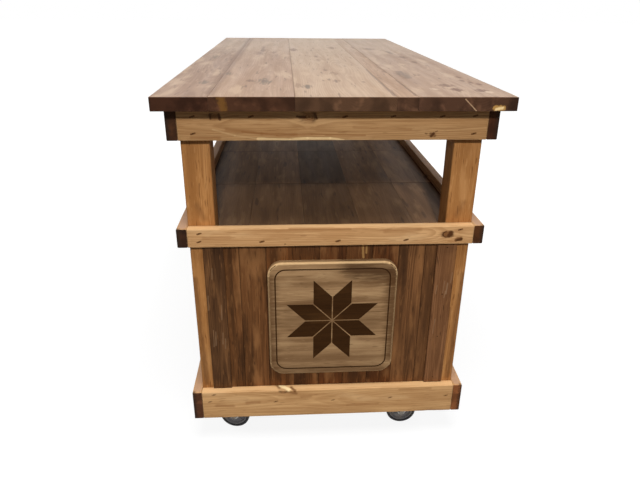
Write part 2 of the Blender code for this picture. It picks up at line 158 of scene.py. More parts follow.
def settle(name, shape, finishes, body, slot, *nodes, sharp=38):
    """Make a shape one finished piece that rides on a body in place of its plain solids."""
    bmesh.ops.recalc_face_normals(shape, faces=shape.faces)
    mesh = bpy.data.meshes.new(name)
    shape.to_mesh(mesh)
    shape.free()
    mesh.shade_smooth()
    mesh.set_sharp_from_angle(angle=math.radians(sharp))
    for finish in finishes:
        mesh.materials.append(finish)
    piece = bpy.data.objects.new(name, mesh)
    bpy.context.scene.collection.objects.link(piece)
    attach(piece, body)
    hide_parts(*nodes)


def wire(tree, kind, inputs, **settings):
    """Add a shader node. An input given as a socket is linked, and any other value is set."""
    node = tree.nodes.new("ShaderNode" + kind)
    for key, value in settings.items():
        setattr(node, key, value)
    for key, value in inputs.items():
        if isinstance(value, bpy.types.NodeSocket):
            tree.links.new(value, node.inputs[key])
        else:
            node.inputs[key].default_value = value
    return node.outputs


def calc(tree, operation, *values):
    """A sum of numbers."""
    return wire(tree, "Math", dict(enumerate(values)), operation=operation)[0]


def times(tree, first, second):
    """Two numbers multiplied."""
    return calc(tree, "MULTIPLY", first, second)


def shift(tree, operation, *vectors):
    """A sum of vectors."""
    return wire(tree, "VectorMath", dict(enumerate(vectors)), operation=operation)["Vector"]


def grow(tree, vector, share):
    """A vector made longer or shorter."""
    return wire(tree, "VectorMath", {0: vector, "Scale": share}, operation="SCALE")["Vector"]


def measure(tree, operation, *vectors):
    """A number found from vectors, such as a length."""
    return wire(tree, "VectorMath", dict(enumerate(vectors)), operation=operation)["Value"]


def ease_in(tree, value, start, end):
    """0 before start, 1 after end, and smooth between them, which also works backwards."""
    given = {"Value": value, "From Min": start, "From Max": end}
    return wire(tree, "MapRange", given, interpolation_type="SMOOTHSTEP")["Result"]


def tint(tree, share, under, over):
    """One colour laid over another."""
    return wire(tree, "Mix", {0: share, 6: under, 7: over}, data_type="RGBA")[2]


def clouds(tree, place, detail, kind="Fac"):
    """Soft noise, from 0 to 1."""
    return wire(tree, "TexNoise", {"Vector": place, "Scale": 1.0, "Detail": detail})[kind]


def speckle(tree, place, cells, detail, kind="Fac"):
    """Soft noise with its own grain size along each axis, in cells to the metre."""
    return clouds(tree, shift(tree, "MULTIPLY", place, cells), detail, kind)


def effect(name, inputs, outputs):
    """An empty node group with its sockets: the tree, what it is given, and what it puts out."""
    tree = bpy.data.node_groups.new(name, "ShaderNodeTree")
    for label, kind in inputs.items():
        tree.interface.new_socket(label, in_out="INPUT", socket_type="NodeSocket" + kind)
    for label in outputs:
        tree.interface.new_socket(label, in_out="OUTPUT", socket_type="NodeSocketFloat")
    return tree, tree.nodes.new("NodeGroupInput").outputs, tree.nodes.new("NodeGroupOutput").inputs


def put_out(tree, out, **values):
    """Lead values to a node group's outputs."""
    for label, value in values.items():
        tree.links.new(value, out[label])


def apply_effect(tree, group, inputs):
    """Place a node group in a material with its own values."""
    return wire(tree, "Group", inputs, node_tree=group)


def new_finish(name, **values):
    """A material with its shader's plain values set, and its tree."""
    finish = bpy.data.materials.new(name)
    finish.use_nodes = True
    skin = finish.node_tree.nodes["Principled BSDF"].inputs
    for label, value in values.items():
        skin[label.replace("_", " ")].default_value = value
    return finish, finish.node_tree


def coat(tree, colour, rough, height, strength, distance):
    """Lead a colour, a roughness and a fine relief into a material's shader."""
    skin = tree.nodes["Principled BSDF"].inputs
    bump = wire(tree, "Bump", {"Height": height, "Strength": strength, "Distance": distance})
    for label, value in (("Base Color", colour), ("Roughness", rough), ("Normal", bump["Normal"])):
        tree.links.new(value, skin[label])


def make_growth_rings():
    """Rings of the tree a board was cut from, so that face, edge and end grain belong together."""
    inputs = {"Grain": "Vector", "Pith": "Vector", "Ring Width": "Float", "Wander": "Float",
              "Push": "Float", "Seed": "Float", "Fleck Size": "Float"}
    outputs = ("Ring", "Fibre", "Streak", "Fleck", "Chalk", "Cloud")
    tree, given, out = effect("growth rings", inputs, outputs)
    seeded = shift(tree, "ADD", given["Grain"], grow(tree, (7.31, 3.17, 5.71), given["Seed"]))
    fibre = speckle(tree, seeded, (9, 380, 380), 3.0)
    streak = speckle(tree, seeded, (2.2, 34, 34), 2.0)
    fleck = speckle(tree, seeded, shift(tree, "DIVIDE", (26, 190, 190), given["Fleck Size"]), 1.0)
    cloud = speckle(tree, seeded, (5.0, 20, 20), 5.0)
    slow = speckle(tree, seeded, (1.3, 5, 5), 1.0, "Color")
    sway = grow(tree, shift(tree, "SUBTRACT", slow, (0.5, 0.5, 0.5)), given["Wander"])
    from_pith = shift(tree, "ADD", shift(tree, "SUBTRACT", given["Grain"], given["Pith"]), sway)
    radius = measure(tree, "LENGTH", shift(tree, "MULTIPLY", from_pith, (0, 1, 1)))
    phase = calc(tree, "DIVIDE", calc(tree, "ADD", radius, given["Push"]), given["Ring Width"])
    year = calc(tree, "FRACT", calc(tree, "ADD", phase, times(tree, fibre, 0.25)))
    ring = times(tree, ease_in(tree, year, 0.05, 0.8), ease_in(tree, year, 1.0, 0.86))
    put_out(tree, out, Ring=ring, Fibre=fibre, Streak=streak, Fleck=ease_in(tree, fleck, 0.64, 0.74),
            Chalk=ease_in(tree, fleck, 0.36, 0.28), Cloud=cloud)
    return tree


def make_knot():
    """A branch cut across: its heart, dark crescents at both ends, and how far it pushes the grain."""
    inputs = {"Grain": "Vector", "Where": "Vector", "Radius": "Float", "Stretch": "Float"}
    tree, given, out = effect("knot", inputs, ("Heart", "Rim", "Push"))
    apart = shift(tree, "SUBTRACT", given["Grain"], given["Where"])
    along, across, _ = wire(tree, "SeparateXYZ", {"Vector": apart})
    along = calc(tree, "ABSOLUTE", calc(tree, "DIVIDE", along, given["Stretch"]))
    far = calc(tree, "SQRT", calc(tree, "ADD", times(tree, along, along), times(tree, across, across)))
    ragged = calc(tree, "SUBTRACT", speckle(tree, given["Grain"], (60, 120, 60), 3.0), 0.5)
    ratio = calc(tree, "ADD", calc(tree, "DIVIDE", far, given["Radius"]), times(tree, ragged, 0.9))
    years = calc(tree, "SINE", times(tree, ratio, 17.0))
    years = calc(tree, "ADD", 0.8, times(tree, years, 0.2))
    rim = times(tree, ease_in(tree, ratio, 0.45, 0.85), ease_in(tree, ratio, 1.6, 0.95))
    ends = ease_in(tree, calc(tree, "DIVIDE", along, calc(tree, "ADD", far, 0.0001)), 0.1, 0.8)
    broken = ease_in(tree, speckle(tree, given["Grain"], (48, 70, 48), 1.0), 0.36, 0.56)
    spread = calc(tree, "POWER", calc(tree, "DIVIDE", ratio, 2.6), 2.0)
    fade = calc(tree, "EXPONENT", times(tree, spread, -1.0))
    put_out(tree, out, Heart=times(tree, ease_in(tree, ratio, 1.45, 0.45), years),
            Rim=times(tree, rim, times(tree, ends, broken)),
            Push=times(tree, times(tree, fade, given["Radius"]), 0.35))
    return tree


def make_sawn_edges():
    """Where a board ends and where its edges are: masks for end grain and for rubbed arrises."""
    inputs = {"Grain": "Vector", "Half Size": "Vector", "Reach": "Float"}
    tree, given, out = effect("sawn edges", inputs, ("End", "Edge"))
    gap = shift(tree, "SUBTRACT", given["Half Size"], shift(tree, "ABSOLUTE", given["Grain"]))
    x, y, z = wire(tree, "SeparateXYZ", {"Vector": gap})
    rest = calc(tree, "MINIMUM", calc(tree, "MAXIMUM", x, y), z)
    second = calc(tree, "MAXIMUM", calc(tree, "MINIMUM", x, y), rest)
    ragged = calc(tree, "SUBTRACT", speckle(tree, given["Grain"], (70, 110, 110), 3.0), 0.42)
    second = calc(tree, "ADD", second, times(tree, ragged, given["Reach"]))
    put_out(tree, out, End=ease_in(tree, x, 0.0016, 0.0007),
            Edge=ease_in(tree, calc(tree, "DIVIDE", second, given["Reach"]), 0.9, 0.1))
    return tree


def make_scar():
    """A scratch, dent or stain: everything near a short straight line, full within the core share.

    A torn one is drawn out thin at both ends and frays along the grain.
    """
    inputs = {"Place": "Vector", "Grain": "Vector", "From": "Vector", "To": "Vector", "Width": "Float",
              "Core": "Float", "Torn": "Float"}
    tree, given, out = effect("scar", inputs, ("Mask",))
    run = shift(tree, "SUBTRACT", given["To"], given["From"])
    off = shift(tree, "SUBTRACT", given["Place"], given["From"])
    share = measure(tree, "DOT_PRODUCT", off, run)
    share = calc(tree, "DIVIDE", share, measure(tree, "DOT_PRODUCT", run, run))
    share = calc(tree, "MINIMUM", calc(tree, "MAXIMUM", share, 0.0), 1.0)
    far = measure(tree, "DISTANCE", off, grow(tree, run, share))
    from_middle = calc(tree, "SUBTRACT", times(tree, share, 2.0), 1.0)
    thinning = times(tree, times(tree, from_middle, from_middle), times(tree, given["Torn"], 0.75))
    width = times(tree, given["Width"], calc(tree, "SUBTRACT", 1.0, thinning))
    ragged = calc(tree, "SUBTRACT", speckle(tree, given["Grain"], (22, 170, 170), 3.0), 0.5)
    fray = calc(tree, "ADD", 1.1, times(tree, given["Torn"], 1.9))
    ratio = calc(tree, "ADD", calc(tree, "DIVIDE", far, width), times(tree, ragged, fray))
    put_out(tree, out, Mask=ease_in(tree, ratio, 1.0, given["Core"]))
    return tree


growth_rings = make_growth_rings()
knot = make_knot()
sawn_edges = make_sawn_edges()
scar = make_scar()


def timber(name, low, high, along, thick, tones, seed, ring=0.0032, wander=0.05, pith=(0.01, -0.045),
           figure=0.5, fibre=0.45, streak=0.5, fleck=0.3, coarse=1.0, blotch=0.5, rubbed=0.5, knots=(),
           stretch=1.4, heart=0.7, rim=0.95, scars=(), rough=0.5, gloss=0.12):
    """A stained board: rings, fibres, streaks, knots and scars, darker end grain and rubbed edges.

    Knots are (along, across, radius), in the cart's own metres, and so are scars: (from, to, width,
    share of the width that is full, tone, strength), and then how torn, if it is.
    """
    finish, tree = new_finish(name, Specular_IOR_Level=gloss)
    middle, half = (low + high) / 2, (high - low) / 2
    u, t = AXIS[along], AXIS[thick]
    v = 3 - u - t
    place = wire(tree, "TexCoord", {})["Object"]
    local = wire(tree, "SeparateXYZ", {"Vector": shift(tree, "SUBTRACT", place, middle)})
    grain = wire(tree, "CombineXYZ", {"X": local[u], "Y": local[v], "Z": local[t]})["Vector"]
    push, hearts, rims = 0.0, 0.0, 0.0
    for at, aside, radius in knots:
        where = (at - middle[u], aside - middle[v], 0)
        branch = apply_effect(tree, knot, {"Grain": grain, "Where": where, "Radius": radius,
                                           "Stretch": stretch})
        push = calc(tree, "ADD", push, branch["Push"])
        hearts = calc(tree, "MAXIMUM", hearts, branch["Heart"])
        rims = calc(tree, "MAXIMUM", rims, branch["Rim"])
    wood = apply_effect(tree, growth_rings, {"Grain": grain, "Pith": (0, *pith), "Ring Width": ring,
                                             "Wander": wander, "Push": push, "Seed": seed,
                                             "Fleck Size": coarse})
    half_size = (half[u], half[v], half[t])
    sawn = apply_effect(tree, sawn_edges, {"Grain": grain, "Half Size": half_size, "Reach": EDGE_REACH})
    strands = times(tree, ease_in(tree, wood["Fibre"], 0.42, 0.72), fibre)
    layers = [(times(tree, wood["Ring"], figure), tones["late"]),
              (strands, tones["late"]),
              (times(tree, ease_in(tree, wood["Streak"], 0.4, 0.68), streak), tones["streak"]),
              (times(tree, ease_in(tree, wood["Cloud"], 0.47, 0.3), blotch), tones["pale"]),
              (times(tree, ease_in(tree, wood["Cloud"], 0.53, 0.72), blotch), tones["streak"]),
              (times(tree, wood["Chalk"], fleck * 0.6), tones["pale"]),
              (times(tree, wood["Fleck"], fleck), tones["knot"])]
    if knots:
        layers += [(times(tree, hearts, heart), tones["knot"]),
                   (times(tree, rims, rim), shade(tones["knot"], 0.3))]
    layers.append((times(tree, sawn["Edge"], rubbed), tones["edge"]))
    dark_end, pale_end = shade(tones["end"], 0.5), shade(tones["end"], 1.5)
    end = tint(tree, times(tree, wood["Ring"], 0.6), tones["end"], dark_end)
    end = tint(tree, times(tree, ease_in(tree, wood["Streak"], 0.46, 0.3), 0.8), end, pale_end)
    end = tint(tree, ease_in(tree, wood["Cloud"], 0.45, 0.66), end, dark_end)
    layers.append((sawn["End"], end))
    for start, stop, width, core, tone, strength, *torn in scars:
        line = apply_effect(tree, scar, {"Place": place, "Grain": grain, "From": start, "To": stop,
                                         "Width": width, "Core": core, "Torn": torn[0] if torn else 0.0})
        layers.append((times(tree, line["Mask"], strength), tone))
    colour = tones["early"]
    for share, tone in layers:
        colour = tint(tree, share, colour, tone)
    dull = calc(tree, "ADD", rough, times(tree, wood["Streak"], 0.16))
    dull = calc(tree, "ADD", dull, times(tree, sawn["End"], 0.2))
    height = calc(tree, "SUBTRACT", times(tree, wood["Ring"], 0.35), times(tree, strands, 0.9))
    coat(tree, colour, dull, height, 0.5, RELIEF)
    return finish


def scatter_knots(chance, count, along, across, sizes):
    """Knots strewn over a face, each with its place and radius between two limits."""
    return [(chance.uniform(*along), chance.uniform(*across), chance.uniform(*sizes))
            for _ in range(count)]


leg_tones = stain(early=(182, 128, 74), late=(136, 86, 42), streak=(142, 92, 46), pale=(196, 144, 90),
                  knot=(96, 56, 26), edge=(150, 104, 62), end=(70, 46, 30))
LEG_GRIME = paint(104, 66, 36)
# Grime on a leg: (from x, from z, to x, to z, width, strength), with x in from the leg's outer corner
LEG_MARKS = [(0.006, 0.60, 0.014, 0.22, 0.013, 0.65),
             (0.036, 0.48, 0.040, 0.20, 0.010, 0.55),
             (0.030, 0.83, 0.048, 0.79, 0.014, 0.35)]
for number, corner in enumerate(CORNERS):
    node = f"leg_{corner}"
    low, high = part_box(node)
    chance = random.Random(number + 3)
    branches = scatter_knots(chance, 2, (low.z, high.z), (low.x, high.x), (0.004, 0.008))
    face = low.y if "front" in corner else high.y
    outer, inward = (low.x, 1) if "left" in corner else (high.x, -1)
    grime = []
    for x0, z0, x1, z1, width, strength in LEG_MARKS:
        start, stop = (outer + inward * x0, face, z0), (outer + inward * x1, face, z1)
        grime.append((start, stop, width, 0.0, LEG_GRIME, strength))
    shape = saw_board(bmesh.new(), low, high, "Z", LEG_EASE, LEG_WEAR, number + 1)
    finish = timber(f"{corner} leg pine", low, high, "Z", "Y", leg_tones, 11 + number, 0.0030, 0.035,
                    (0.02, -0.05), fleck=0.6, knots=branches, scars=grime)
    settle(f"{node}_post", shape, [finish], "cart", "leg_wood", node)

# Rails
# Three bands of dressed pine boards round the legs: aprons under the top, middle rails that stand up
# as a lip round the shelf, and base rails that hide the casters. Long rails run right through, so
# their dark end grain shows beside the short rails. All are stained golden and face-nailed.
RAIL_EASE = 0.0022
SHORT_WEAR, LONG_WEAR = 0.0009, 0.0010
rail_tones = stain(early=(207, 162, 112), late=(150, 103, 60), streak=(166, 120, 74),
                   pale=(216, 176, 128), knot=(112, 70, 34), edge=(212, 170, 122), end=(74, 48, 31))
apron_stain = stain(early=(190, 147, 99), late=(135, 92, 52), pale=(202, 161, 113))
base_stain = stain(early=(214, 168, 115), late=(158, 109, 63), pale=(220, 178, 128))
BAND_TONES = {"apron": {**rail_tones, **apron_stain}, "mid_rail": rail_tones,
              "base_rail": {**rail_tones, **base_stain}}
LONG_ENDS = stain(apron_left=(66, 39, 21), apron_right=(78, 43, 23), mid_rail_left=(50, 28, 15),
                  mid_rail_right=(84, 48, 22), base_rail_left=(88, 54, 34),
                  base_rail_right=(146, 89, 51))
END_STRIP = 0.016        # width of the dark strip where a long rail's end grain begins
END_DARK = paint(40, 28, 20)
# Painted highlight: a pale band along each short rail's top face, standing in for light falling from
# above
LIT_CREST = paint(228, 184, 132)
# Along each long rail's top face: paler grey, partly dust and partly painted highlight
DUSTY_LIT_CREST = paint(182, 146, 120)
NAIL_DARK = paint(88, 50, 18)
NAIL_DASH = 0.0050       # half length of the dark dash round a nail, along the grain
NAIL_SLANT = 0.0014      # rise of the dash over that half length
NAIL_HALO = 0.0034       # width of the dash
NAIL_STRENGTH = {"apron": 0.9, "mid_rail": 0.9, "base_rail": 0.5}
END_NAIL_IN = 0.065      # nails into a leg, in from a long rail's end
# Places on the front rails, as they are on the cart: (x, z), and a radius for a knot
FRONT_NAILS = {
    "apron": [(-0.365, 1.080), (-0.216, 1.080), (0.026, 1.079), (0.152, 1.080), (0.282, 1.080),
              (0.369, 1.081), (-0.366, 1.036), (0.370, 1.034)],
    "mid_rail": [(-0.372, 0.756), (-0.374, 0.731), (-0.199, 0.729), (0.016, 0.728), (0.211, 0.728),
                 (0.366, 0.758)],
    "base_rail": [(-0.368, 0.198), (-0.382, 0.171), (-0.172, 0.164), (0.013, 0.163), (0.200, 0.166),
                  (0.385, 0.167)]}
FRONT_KNOTS = {
    "apron": [(-0.307, 1.080, 0.009), (-0.068, 1.079, 0.013), (0.259, 1.031, 0.006)],
    "mid_rail": [(0.330, 0.744, 0.0105), (0.365, 0.729, 0.006)],
    "base_rail": [(-0.148, 0.205, 0.008)]}


def bow(x, z, wide, tall, start, stop):
    """Points on part of an oval, from one angle to another."""
    turns = [math.radians(start + (stop - start) * i / 6) for i in range(7)]
    return [(x + wide * math.cos(t), z + tall * math.sin(t)) for t in turns]


SMUDGE = paint(140, 92, 50)
KNOT_RIM = paint(72, 40, 13)
KNOT_BROWN = paint(112, 70, 34)
WANE = paint(238, 204, 150)
RESIN = paint(104, 60, 26)
PALE_KNOT = paint(255, 226, 170)
# Marks on the short rails, each a tone, a width, a strength and a line through (x, z) points: stain
# that took unevenly, the dark rims of knots, and the bare wane along the lower edge of the apron
FRONT_MARKS = {
    "apron": [
        (SMUDGE, 0.007, 0.5, [(-0.280, 1.047), (-0.190, 1.036), (-0.100, 1.033)]),
        (SMUDGE, 0.006, 0.4, [(0.050, 1.052), (0.200, 1.046)]),
        (SMUDGE, 0.008, 0.5, [(-0.370, 1.026), (-0.300, 1.024)]),
        (WANE, 0.0030, 0.2, [(-0.315, 1.047), (-0.259, 1.031), (-0.200, 1.022)]),
        (WANE, 0.0046, 0.75, [(-0.200, 1.022), (-0.117, 1.019), (-0.071, 1.023), (-0.012, 1.023),
                              (0.024, 1.017)]),
        (SMUDGE, 0.0035, 0.6, [(-0.240, 1.041), (-0.150, 1.032), (-0.060, 1.034), (0.080, 1.030)]),
        (KNOT_RIM, 0.0045, 0.9, [(-0.320, 1.086), (-0.319, 1.075)]),
        (KNOT_RIM, 0.0050, 0.9, [(-0.297, 1.086), (-0.295, 1.073)]),
        (KNOT_RIM, 0.0045, 0.9, [(-0.098, 1.080), (-0.078, 1.078)]),
        (KNOT_RIM, 0.0045, 0.9, [(-0.052, 1.086), (-0.047, 1.075)]),
        (KNOT_RIM, 0.0050, 0.9, [(0.256, 1.027), (0.262, 1.035)]),
        (KNOT_RIM, 0.0025, 0.6, [(0.240, 1.035), (0.244, 1.034)]),
        (KNOT_RIM, 0.0025, 0.6, [(0.267, 1.039), (0.271, 1.041)])],
    "mid_rail": [
        (SMUDGE, 0.007, 0.5, [(-0.120, 0.768), (0.050, 0.764)]),
        (SMUDGE, 0.010, 0.45, [(0.150, 0.757), (0.250, 0.760)]),
        (SMUDGE, 0.009, 0.35, [(-0.360, 0.742), (-0.290, 0.744)]),
        (KNOT_BROWN, 0.0135, 0.8, [(0.327, 0.744), (0.334, 0.744)]),
        (KNOT_RIM, 0.0095, 0.95, [(0.339, 0.749), (0.338, 0.744), (0.335, 0.740)]),
        (KNOT_RIM, 0.0040, 0.8, [(0.336, 0.736), (0.324, 0.735)]),
        (KNOT_RIM, 0.0034, 0.75, bow(0.330, 0.744, 0.0135, 0.0090, 110, 235)),
        (KNOT_BROWN, 0.0080, 0.6, [(0.358, 0.728), (0.370, 0.732)]),
        (KNOT_RIM, 0.0056, 0.97, [(0.356, 0.7235), (0.371, 0.7290)]),
        (SMUDGE, 0.0030, 0.7, [(0.333, 0.7225), (0.356, 0.7225)]),
        (KNOT_RIM, 0.0025, 0.7, [(-0.135, 0.721), (-0.132, 0.721)])],
    "base_rail": [
        (SMUDGE, 0.011, 0.5, [(-0.360, 0.154), (-0.310, 0.152)]),
        (SMUDGE, 0.009, 0.5, [(-0.265, 0.163), (-0.225, 0.163)]),
        (SMUDGE, 0.008, 0.4, [(-0.090, 0.180), (-0.060, 0.180)]),
        (SMUDGE, 0.008, 0.4, [(0.060, 0.140), (0.160, 0.142)]),
        (SMUDGE, 0.008, 0.4, [(0.230, 0.196), (0.330, 0.198)])]}
# A split knot on the crest of the front base rail: points are (x, back from the face, below the crest),
# then a width, the share of it that is full, a tone and a strength
CREST_KNOT = [
    ((-0.170, 0.030, 0), (-0.160, 0.014, 0), 0.009, 0.1, RESIN, 0.75),
    ((-0.122, 0.014, 0), (-0.110, 0, 0.004), 0.008, 0.2, RESIN, 0.85),
    ((-0.132, 0, 0.006), (-0.106, 0, 0.013), 0.007, 0.1, RESIN, 0.5),
    ((-0.156, 0.024, 0), (-0.130, 0.006, 0), 0.0095, 0.3, PALE_KNOT, 0.95)]
nails = []


def nail_scars(places, facing, along, strength):
    """Dark dashes in the wood round nails, which also go on the list of nails to drive."""
    run = Vector((0, 0, NAIL_SLANT))
    run[AXIS[along]] = NAIL_DASH
    nails.extend((Vector(place), Vector(facing)) for place in places)
    return [(Vector(p) - run, Vector(p) + run, NAIL_HALO, 0.4, NAIL_DARK, strength) for p in places]


for band, band_tones in BAND_TONES.items():
    for end, facing in (("front", -1), ("rear", 1)):
        node = f"{band}_{end}"
        low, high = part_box(node)
        face = low.y if facing < 0 else high.y
        branches = [(x * -facing, z, radius) for x, z, radius in FRONT_KNOTS[band]]
        middle = (low.y + high.y) / 2
        # The first scar is the painted highlight along the rail's top face
        scars = [((low.x, middle, high.z), (high.x, middle, high.z), 0.014, 0.4, LIT_CREST, 0.75)]
        for tone, width, strength, line in FRONT_MARKS[band]:
            core = 0.0 if tone is SMUDGE else 0.35
            scars += [((x0 * -facing, face, z0), (x1 * -facing, face, z1), width, core, tone, strength)
                      for (x0, z0), (x1, z1) in zip(line, line[1:])]
        spots = [(x * -facing, face, z) for x, z in FRONT_NAILS[band]]
        scars += nail_scars(spots, (0, facing, 0), "X", NAIL_STRENGTH[band])
        if node == "base_rail_front":
            scars += [((x0, face + back0, high.z - drop0), (x1, face + back1, high.z - drop1), *look)
                      for (x0, back0, drop0), (x1, back1, drop1), *look in CREST_KNOT]
        shape = saw_board(bmesh.new(), low, high, "X", RAIL_EASE, SHORT_WEAR, len(nails))
        finish = timber(f"{end} {band} pine", low, high, "X", "Y", band_tones, 21 + len(nails), 0.0030,
                        0.05, (0.012, -0.05 * facing), figure=0.3 if band == "base_rail" else 0.45,
                        knots=branches, heart=0.85, rim=0.6, scars=scars)
        settle(f"{node}_board", shape, [finish], "cart", "rail_wood", node)
    for side, facing in (("left", -1), ("right", 1)):
        node = f"{band}_{side}"
        low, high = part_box(node)
        face = low.x if facing < 0 else high.x
        tall = high.z - low.z
        chance = random.Random(len(nails))
        branches = scatter_knots(chance, 4, (low.y, high.y), (low.z, high.z), (0.006, 0.012))
        last = high.y - END_NAIL_IN
        spots = [(face, y, low.z + tall * row) for y in (-last, last) for row in (0.24, 0.76)]
        spots += [(face, third * last / 3, low.z + tall * 0.5) for third in (-2, -1, 0, 1, 2)]
        middle = (low.x + high.x) / 2
        # Strength of the pale grey band along the top face, partly dust and partly painted highlight
        dust = 0.85 if band == "mid_rail" else 0.7
        crest = ((middle, low.y + END_STRIP, high.z), (middle, high.y - END_STRIP, high.z))
        scars = [(*crest, 0.016, 0.5, DUSTY_LIT_CREST, dust)]
        for _ in range(6):
            y, z = chance.uniform(low.y, high.y), chance.uniform(low.z, high.z)
            end_y = y + chance.uniform(0.03, 0.10)
            scars.append(((face, y, z), (face, end_y, z), 0.009, 0.0, SMUDGE, 0.45))
        for y in (low.y, high.y):
            scars.append(((face, y, low.z), (face, y, high.z), END_STRIP, 0.2, END_DARK, 0.8))
        scars += nail_scars(spots, (facing, 0, 0), "Y", 0.9)
        shape = saw_board(bmesh.new(), low, high, "Y", RAIL_EASE, LONG_WEAR, len(nails), nicks=6)
        tones = dict(band_tones, end=LONG_ENDS[node])
        finish = timber(f"{side} {band} pine", low, high, "Y", "X", tones, 21 + len(nails), 0.0030, 0.06,
                        (0.012, -0.05 * facing), knots=branches, scars=scars)
        settle(f"{node}_board", shape, [finish], "cart", "rail_wood", node)

# Bolsters and bearers
# Rough pine battens that are out of sight: two bolsters that the casters are screwed to, a bearer
# under the deck's middle and one under each seam of the shelf. Left bare.
BATTEN_EASE, BATTEN_WEAR = 0.0015, 0.0008
bare_tones = stain(early=(190, 150, 104), late=(146, 104, 64), streak=(160, 120, 80),
                   pale=(204, 168, 124), knot=(92, 56, 30), edge=(196, 158, 112), end=(150, 112, 72))
HIDDEN_BATTENS = ("caster_bolster_front", "caster_bolster_rear", "deck_bearer", "shelf_bearer_1",
                  "shelf_bearer_2", "shelf_bearer_3")
for number, node in enumerate(HIDDEN_BATTENS):
    low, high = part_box(node)
    shape = saw_board(bmesh.new(), low, high, "X", BATTEN_EASE, BATTEN_WEAR, 60 + number)
    finish = timber(f"{node} bare pine", low, high, "X", "Z", bare_tones, 60 + number, figure=0.6,
                    rough=0.62)
    settle(f"{node}_batten", shape, [finish], "cart", "inner_wood", node)

# Deck
# The floor of the lower bay: dark stained boards between the base rails, cut out round the legs,
# lying on the bolsters and the bearer.
DECK_SEAMS = (-0.27, -0.09, 0.09, 0.27)
SEAM_GAP = 0.0006        # dark line between two boards of a floor
DECK_EASE = 0.0012
CLEAR_OF_LEG = 0.0003
deck_tones = stain(early=(82, 60, 46), late=(56, 40, 31), streak=(64, 46, 36), pale=(96, 74, 58),
                   knot=(40, 26, 18), edge=(92, 70, 54), end=(46, 32, 24))
leg_low, leg_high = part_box("leg_front_right")
# Inner corner of the rear right leg, and the other legs stand opposite it
LEG_X, LEG_Y = leg_low.x - CLEAR_OF_LEG, -leg_high.y - CLEAR_OF_LEG


def shrink(outline, inset):
    """A square-cornered outline, anticlockwise, with every side moved in."""
    moved = []
    for number, (x, y) in enumerate(outline):
        here, after = Vector((x, y)), Vector(outline[(number + 1) % len(outline)])
        arriving = (here - Vector(outline[number - 1])).normalized()
        leaving = (after - here).normalized()
        moved.append((x - inset * (arriving.y + leaving.y), y + inset * (arriving.x + leaving.x)))
    return moved


def lay_floor(low, high, seams, ease):
    """Boards along Y that fill a plan box, cut out at the corners where legs stand."""
    shape = bmesh.new()
    lines = (low.x, *seams, high.x)
    for number, (left, right) in enumerate(zip(lines, lines[1:])):
        left += SEAM_GAP / 2 if number else 0
        right -= SEAM_GAP / 2 if number < len(seams) else 0
        side = 1 if right > LEG_X else -1 if left < -LEG_X else 0
        inner, outer = (right, left) if side < 0 else (left, right)
        first, last = [(outer, low.y)], [(outer, high.y)]
        if side and low.y < -LEG_Y:
            first = [(side * LEG_X, low.y), (side * LEG_X, -LEG_Y), (outer, -LEG_Y)]
        if side and high.y > LEG_Y:
            last = [(outer, LEG_Y), (side * LEG_X, LEG_Y), (side * LEG_X, high.y)]
        outline = [(inner, low.y), *first, *last, (inner, high.y)]
        outline = outline[::-1] if side < 0 else outline
        levels = [(0, low.z)]
        for turn in (0, math.pi / 4, math.pi / 2):
            levels.append((ease * (1 - math.cos(turn)), high.z - ease * (1 - math.sin(turn))))
        loft(shape, [[(x, y, z) for x, y in shrink(outline, inset)] for inset, z in levels], number)
    return shape


def floor_finishes(name, low, high, seams, tone_sets, seed, **look):
    """A finish for each board of a floor."""
    lines = (low.x, *seams, high.x)
    finishes = []
    for number, (left, right, tones) in enumerate(zip(lines, lines[1:], tone_sets)):
        board_low, board_high = Vector((left, low.y, low.z)), Vector((right, high.y, high.z))
        board = f"{name} board {number + 1}"
        finishes.append(timber(board, board_low, board_high, "Y", "Z", tones, seed + number, **look))
    return finishes


low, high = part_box("deck")
finishes = floor_finishes("deck", low, high, DECK_SEAMS, [deck_tones] * 5, 70, rubbed=0.2, rough=0.4)
shape = lay_floor(low, high, DECK_SEAMS, DECK_EASE)
settle("deck_boards", shape, finishes, "cart", "deck_wood", "deck", sharp=12)

# End panels
# Each closed end is a row of upright boards with small V joints, stained dark walnut. They stand on
# the bolster between the legs and are nailed to the backs of the middle and base rails.
PANEL_BOARD_W = 0.078
PANEL_SEAM_X = 0.044     # seam that the boards are laid out from
PANEL_SEAMS = [PANEL_SEAM_X + PANEL_BOARD_W * i for i in range(-4, 4)]
PANEL_EASE, PANEL_WEAR = 0.0011, 0.0007
PANEL_TONES = (0, 0, 1, 3, 2, 3, 2, 4, 4)        # which set of tones each board has, from the left
walnut_sets = [stain(early=(120, 77, 43), late=(66, 39, 18), streak=(52, 31, 14)),
               stain(early=(128, 80, 43), late=(66, 38, 17), streak=(60, 36, 18)),
               stain(early=(108, 64, 33), late=(60, 34, 15), streak=(54, 30, 14)),
               stain(early=(115, 72, 39), late=(64, 38, 18), streak=(56, 33, 17)),
               stain(early=(126, 84, 50), late=(68, 41, 21), streak=(58, 35, 18))]
walnut_rest = stain(pale=(142, 97, 58), knot=(42, 25, 12), edge=(56, 34, 18), end=(48, 30, 18))
BARE_STREAK = paint(170, 128, 76)
